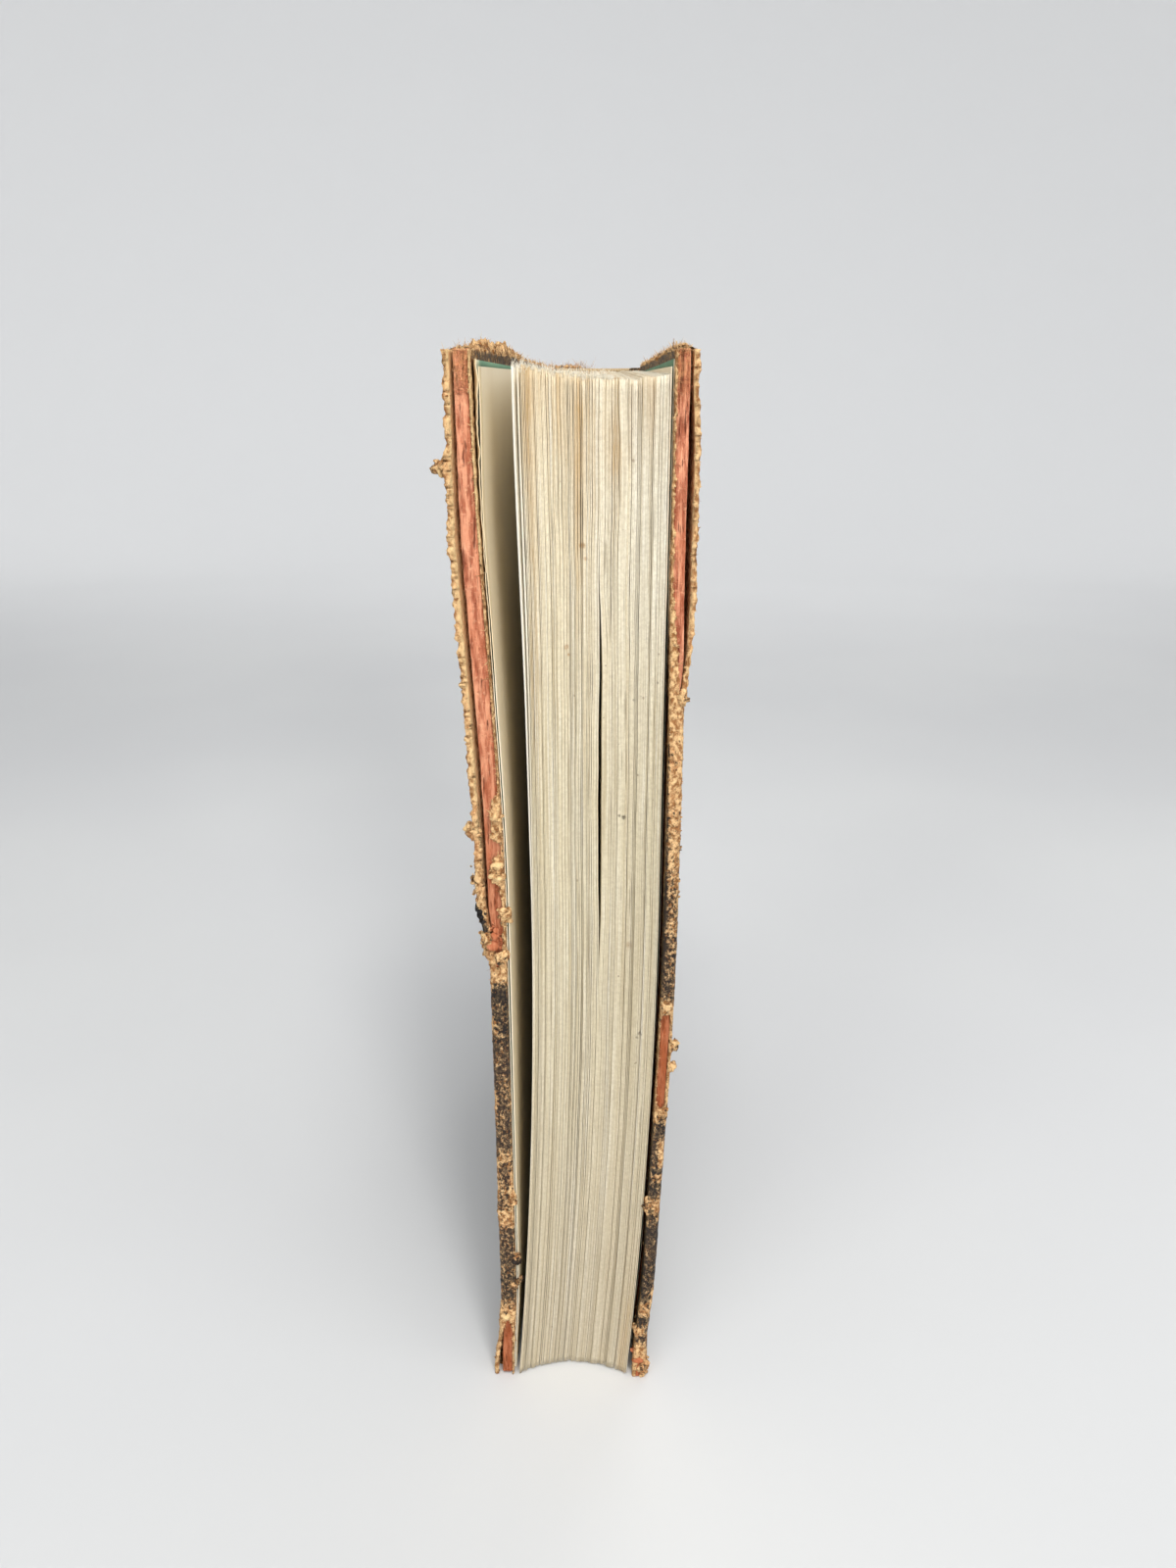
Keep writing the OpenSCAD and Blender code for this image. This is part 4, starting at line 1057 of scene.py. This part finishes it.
def joint_leather(cover):
    """The bend of the leather between a cover and the spine."""
    z = np.linspace(0.4, COVER_H - 0.6, 120)[:, None]
    end = math.asin(SKIN_OUT / SKIN_R)
    flat = np.linspace(-7, -0.4, 12)
    arc = np.linspace(0, 0.34, 12)
    run = np.concatenate([flat, arc * SKIN_R])
    u = np.concatenate([np.full(len(flat), SKIN_OUT), SKIN_R * np.sin(end - arc)])
    y = np.concatenate([HINGE_Y + flat, SPINE_Y + SKIN_R * np.cos(end - arc)])
    lean = np.concatenate([np.zeros(len(flat)), math.pi / 2 - (end - arc)])
    sunk = ease((np.abs(run) - 3.5) / 3.2) * 0.22 + 0.12 * hill(run, 0.6)

    def grid(lift):
        off = lift - sunk + 0.03 * rough(run / 1.5, z / 7, 0.5, 3, cover.seed + 4)
        return cover.place(u + off * np.cos(lean), y + off * np.sin(lean), z + 0 * off)

    wear = (-0.1 + 0.3 * hill(run, 1.2) + 0.7 * np.exp(-np.minimum(z, COVER_H - z) / 1.5)
            + 0.16 * rough(run / 5, z / 16, 0.5, 3, cover.seed + 5))
    shape = Shape()
    shape.sheet(grid(0.13), grid(-0.02), cover.side < 0, wear=(wear, wear))
    made = shape.piece(f"{cover.name}_joint_leather", [LEATHER])
    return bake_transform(made)


def end_band(name, z):
    """Thread wound over a core along the round of the spine."""
    radius = BLOCK_R - BAND_D / 2 - 2 * GLUE
    half = math.asin(0.86 * HALF / radius)
    turns = 46
    along = np.linspace(-half, half, turns * 8 + 1)
    around = np.linspace(0, 2 * math.pi, 17)
    a, b = np.meshgrid(along, around, indexing="ij")
    wound = np.abs(np.sin((a / half * turns + b / math.pi / 2) * math.pi / 2))
    r = BAND_D / 2 * (0.86 + 0.14 * wound)
    ring = radius + r * np.cos(b)
    points = np.stack([MIDDLE_X + ring * np.sin(a), SPINE_Y + ring * np.cos(a), z + r * np.sin(b)], axis=-1)
    shape = Shape()
    shape.add(points * MM, grid_quads(len(along), len(around)), proud=wound)
    return shape.piece(f"{name}_thread", [THREAD], "book_block", [name])


pages()
for cover in (FRONT, REAR):
    board(cover)
    face_leather(cover)
    fore_leather(cover)
    end_leather(cover, True)
    end_leather(cover, False)
    joint_leather(cover)
endpaper(FRONT, margin=1.1, sunk=lambda z: 0 * z,
         lift=lambda z: 0.2 * ease((z - 140) / 20) + LEAF_LIFT * ease((z - 172) / 22),
         curl=lambda z: 0.12 + 0.4 * ease((z - 140) / 30) + 0.6 * ease((z - 176) / 14))
endpaper(REAR, margin=1.6, sunk=lambda z: 6.5 * ease((165 - z) / 20), lift=lambda z: 0 * z,
         curl=lambda z: 0.05 + 0 * z)
spine()
end_band("head_band", HEAD_Z + 0.1)
end_band("tail_band", TAIL_SQUARE - BAND_D / 2 - GLUE)
for node, material in (("sewing_tapes", LINEN), ("spine_lining", LINING)):
    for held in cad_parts[node].material_slots:
        held.material = material


# Stage, light and camera. PALE is how much the far ground is lifted for the camera alone.

PALE, LAMP_SPREAD = 0.26, math.radians(110)


def stage():
    """A pale floor that curves up all round, so that every side has the same plain ground."""
    n = Nodes("pale_floor", 0.9, 0.1)
    dust = n.noise((4, 4, 4), 2.0)
    far = n.node("ShaderNodeVectorMath", {0: n.scaled(1, 1, 0)}, operation="LENGTH").outputs["Value"]
    material = n.finish(n.coats(srgb(210, 210, 210), (dust, 0.3, 0.7, 1.0, (215, 215, 214)),
                                (far, 0.4, 1.3, 1.0, (226, 226, 226))))
    seen = n.node("ShaderNodeLightPath").outputs["Is Camera Ray"]
    n.put(n.shader.inputs["Emission Color"], (1.0, 1.0, 1.0, 1.0))
    _, y, z = n.split()
    pale = n.math("MAXIMUM", n.ramp(y, 0.35, 1.1, 0.0, PALE), n.ramp(z, 0.0, 0.15, 0.0, PALE))
    n.put(n.shader.inputs["Emission Strength"], n.times(seen, pale))
    flat, bend, height = 1.05, 0.6, 2.0
    a = np.radians(np.linspace(0, 90, 24))
    r = np.concatenate([[0.0], flat + bend * np.sin(a), [flat + bend]])
    z = np.concatenate([[0.0], bend - bend * np.cos(a), [height]])
    turn = np.radians(np.linspace(0, 360, 73))[:, None]
    points = np.stack(np.broadcast_arrays(r * np.cos(turn), r * np.sin(turn), z), axis=-1)
    shape = Shape()
    shape.add(points, grid_quads(len(turn), len(r), True))
    shape.piece("floor", [material])


def lamp(name, place, aim, wide, tall, power):
    """A soft box that faces a point on the book."""
    data = bpy.data.lights.new(name, "AREA")
    data.shape, data.size, data.size_y, data.energy = "RECTANGLE", wide, tall, power
    data.spread = LAMP_SPREAD
    made = bpy.data.objects.new(name, data)
    bpy.context.collection.objects.link(made)
    made.location = place
    x, y, z = np.array(place) - np.array(aim)
    made.rotation_euler = (math.acos(z / math.hypot(x, y, z)), 0, math.atan2(y, x) + math.pi / 2)


stage()
for name, place, aim_z, wide, tall, power in (
        ("key", (0.42, -1.35, 0.7), 0.1, 0.3, 0.9, 4.0), ("top", (0.1, -0.6, 1.4), 0.15, 0.6, 0.6, 4.1),
        ("side", (0.9, -0.5, 0.7), 0.1, 0.6, 0.6, 0.9), ("fill", (-0.7, -0.9, 0.7), 0.1, 0.6, 0.8, 1.35),
        ("back", (0.3, 0.9, 1.0), 0.1, 0.7, 0.7, 1.05)):
    lamp(name, place, (0, 0, aim_z), wide, tall, power)
world = bpy.data.worlds.new("studio")
world.use_nodes = True
background = world.node_tree.nodes["Background"].inputs
background["Color"].default_value = (0.9, 0.95, 1.0, 1.0)
background["Strength"].default_value = 0.42
bpy.context.scene.world = world
bpy.context.scene.view_settings.view_transform = "Standard"

# The camera stands close to the fore-edge, a little under the height of the head, and looks down
PITCH, LENS = math.radians(19.8), 24.975
CAMERA_SIDE, CAMERA_BACK, CAMERA_Z = 1.3, 171.8, 193.4
camera_data = bpy.data.cameras.new("camera")
camera_data.lens = LENS
camera_data.clip_start = 0.01
camera = bpy.data.objects.new("camera", camera_data)
bpy.context.collection.objects.link(camera)
camera.location = ((MIDDLE_X - CAMERA_SIDE) * MM, (FORE_Y - CAMERA_BACK) * MM, CAMERA_Z * MM)
camera.rotation_euler = (math.pi / 2 - PITCH, 0, 0)
bpy.context.scene.camera = camera
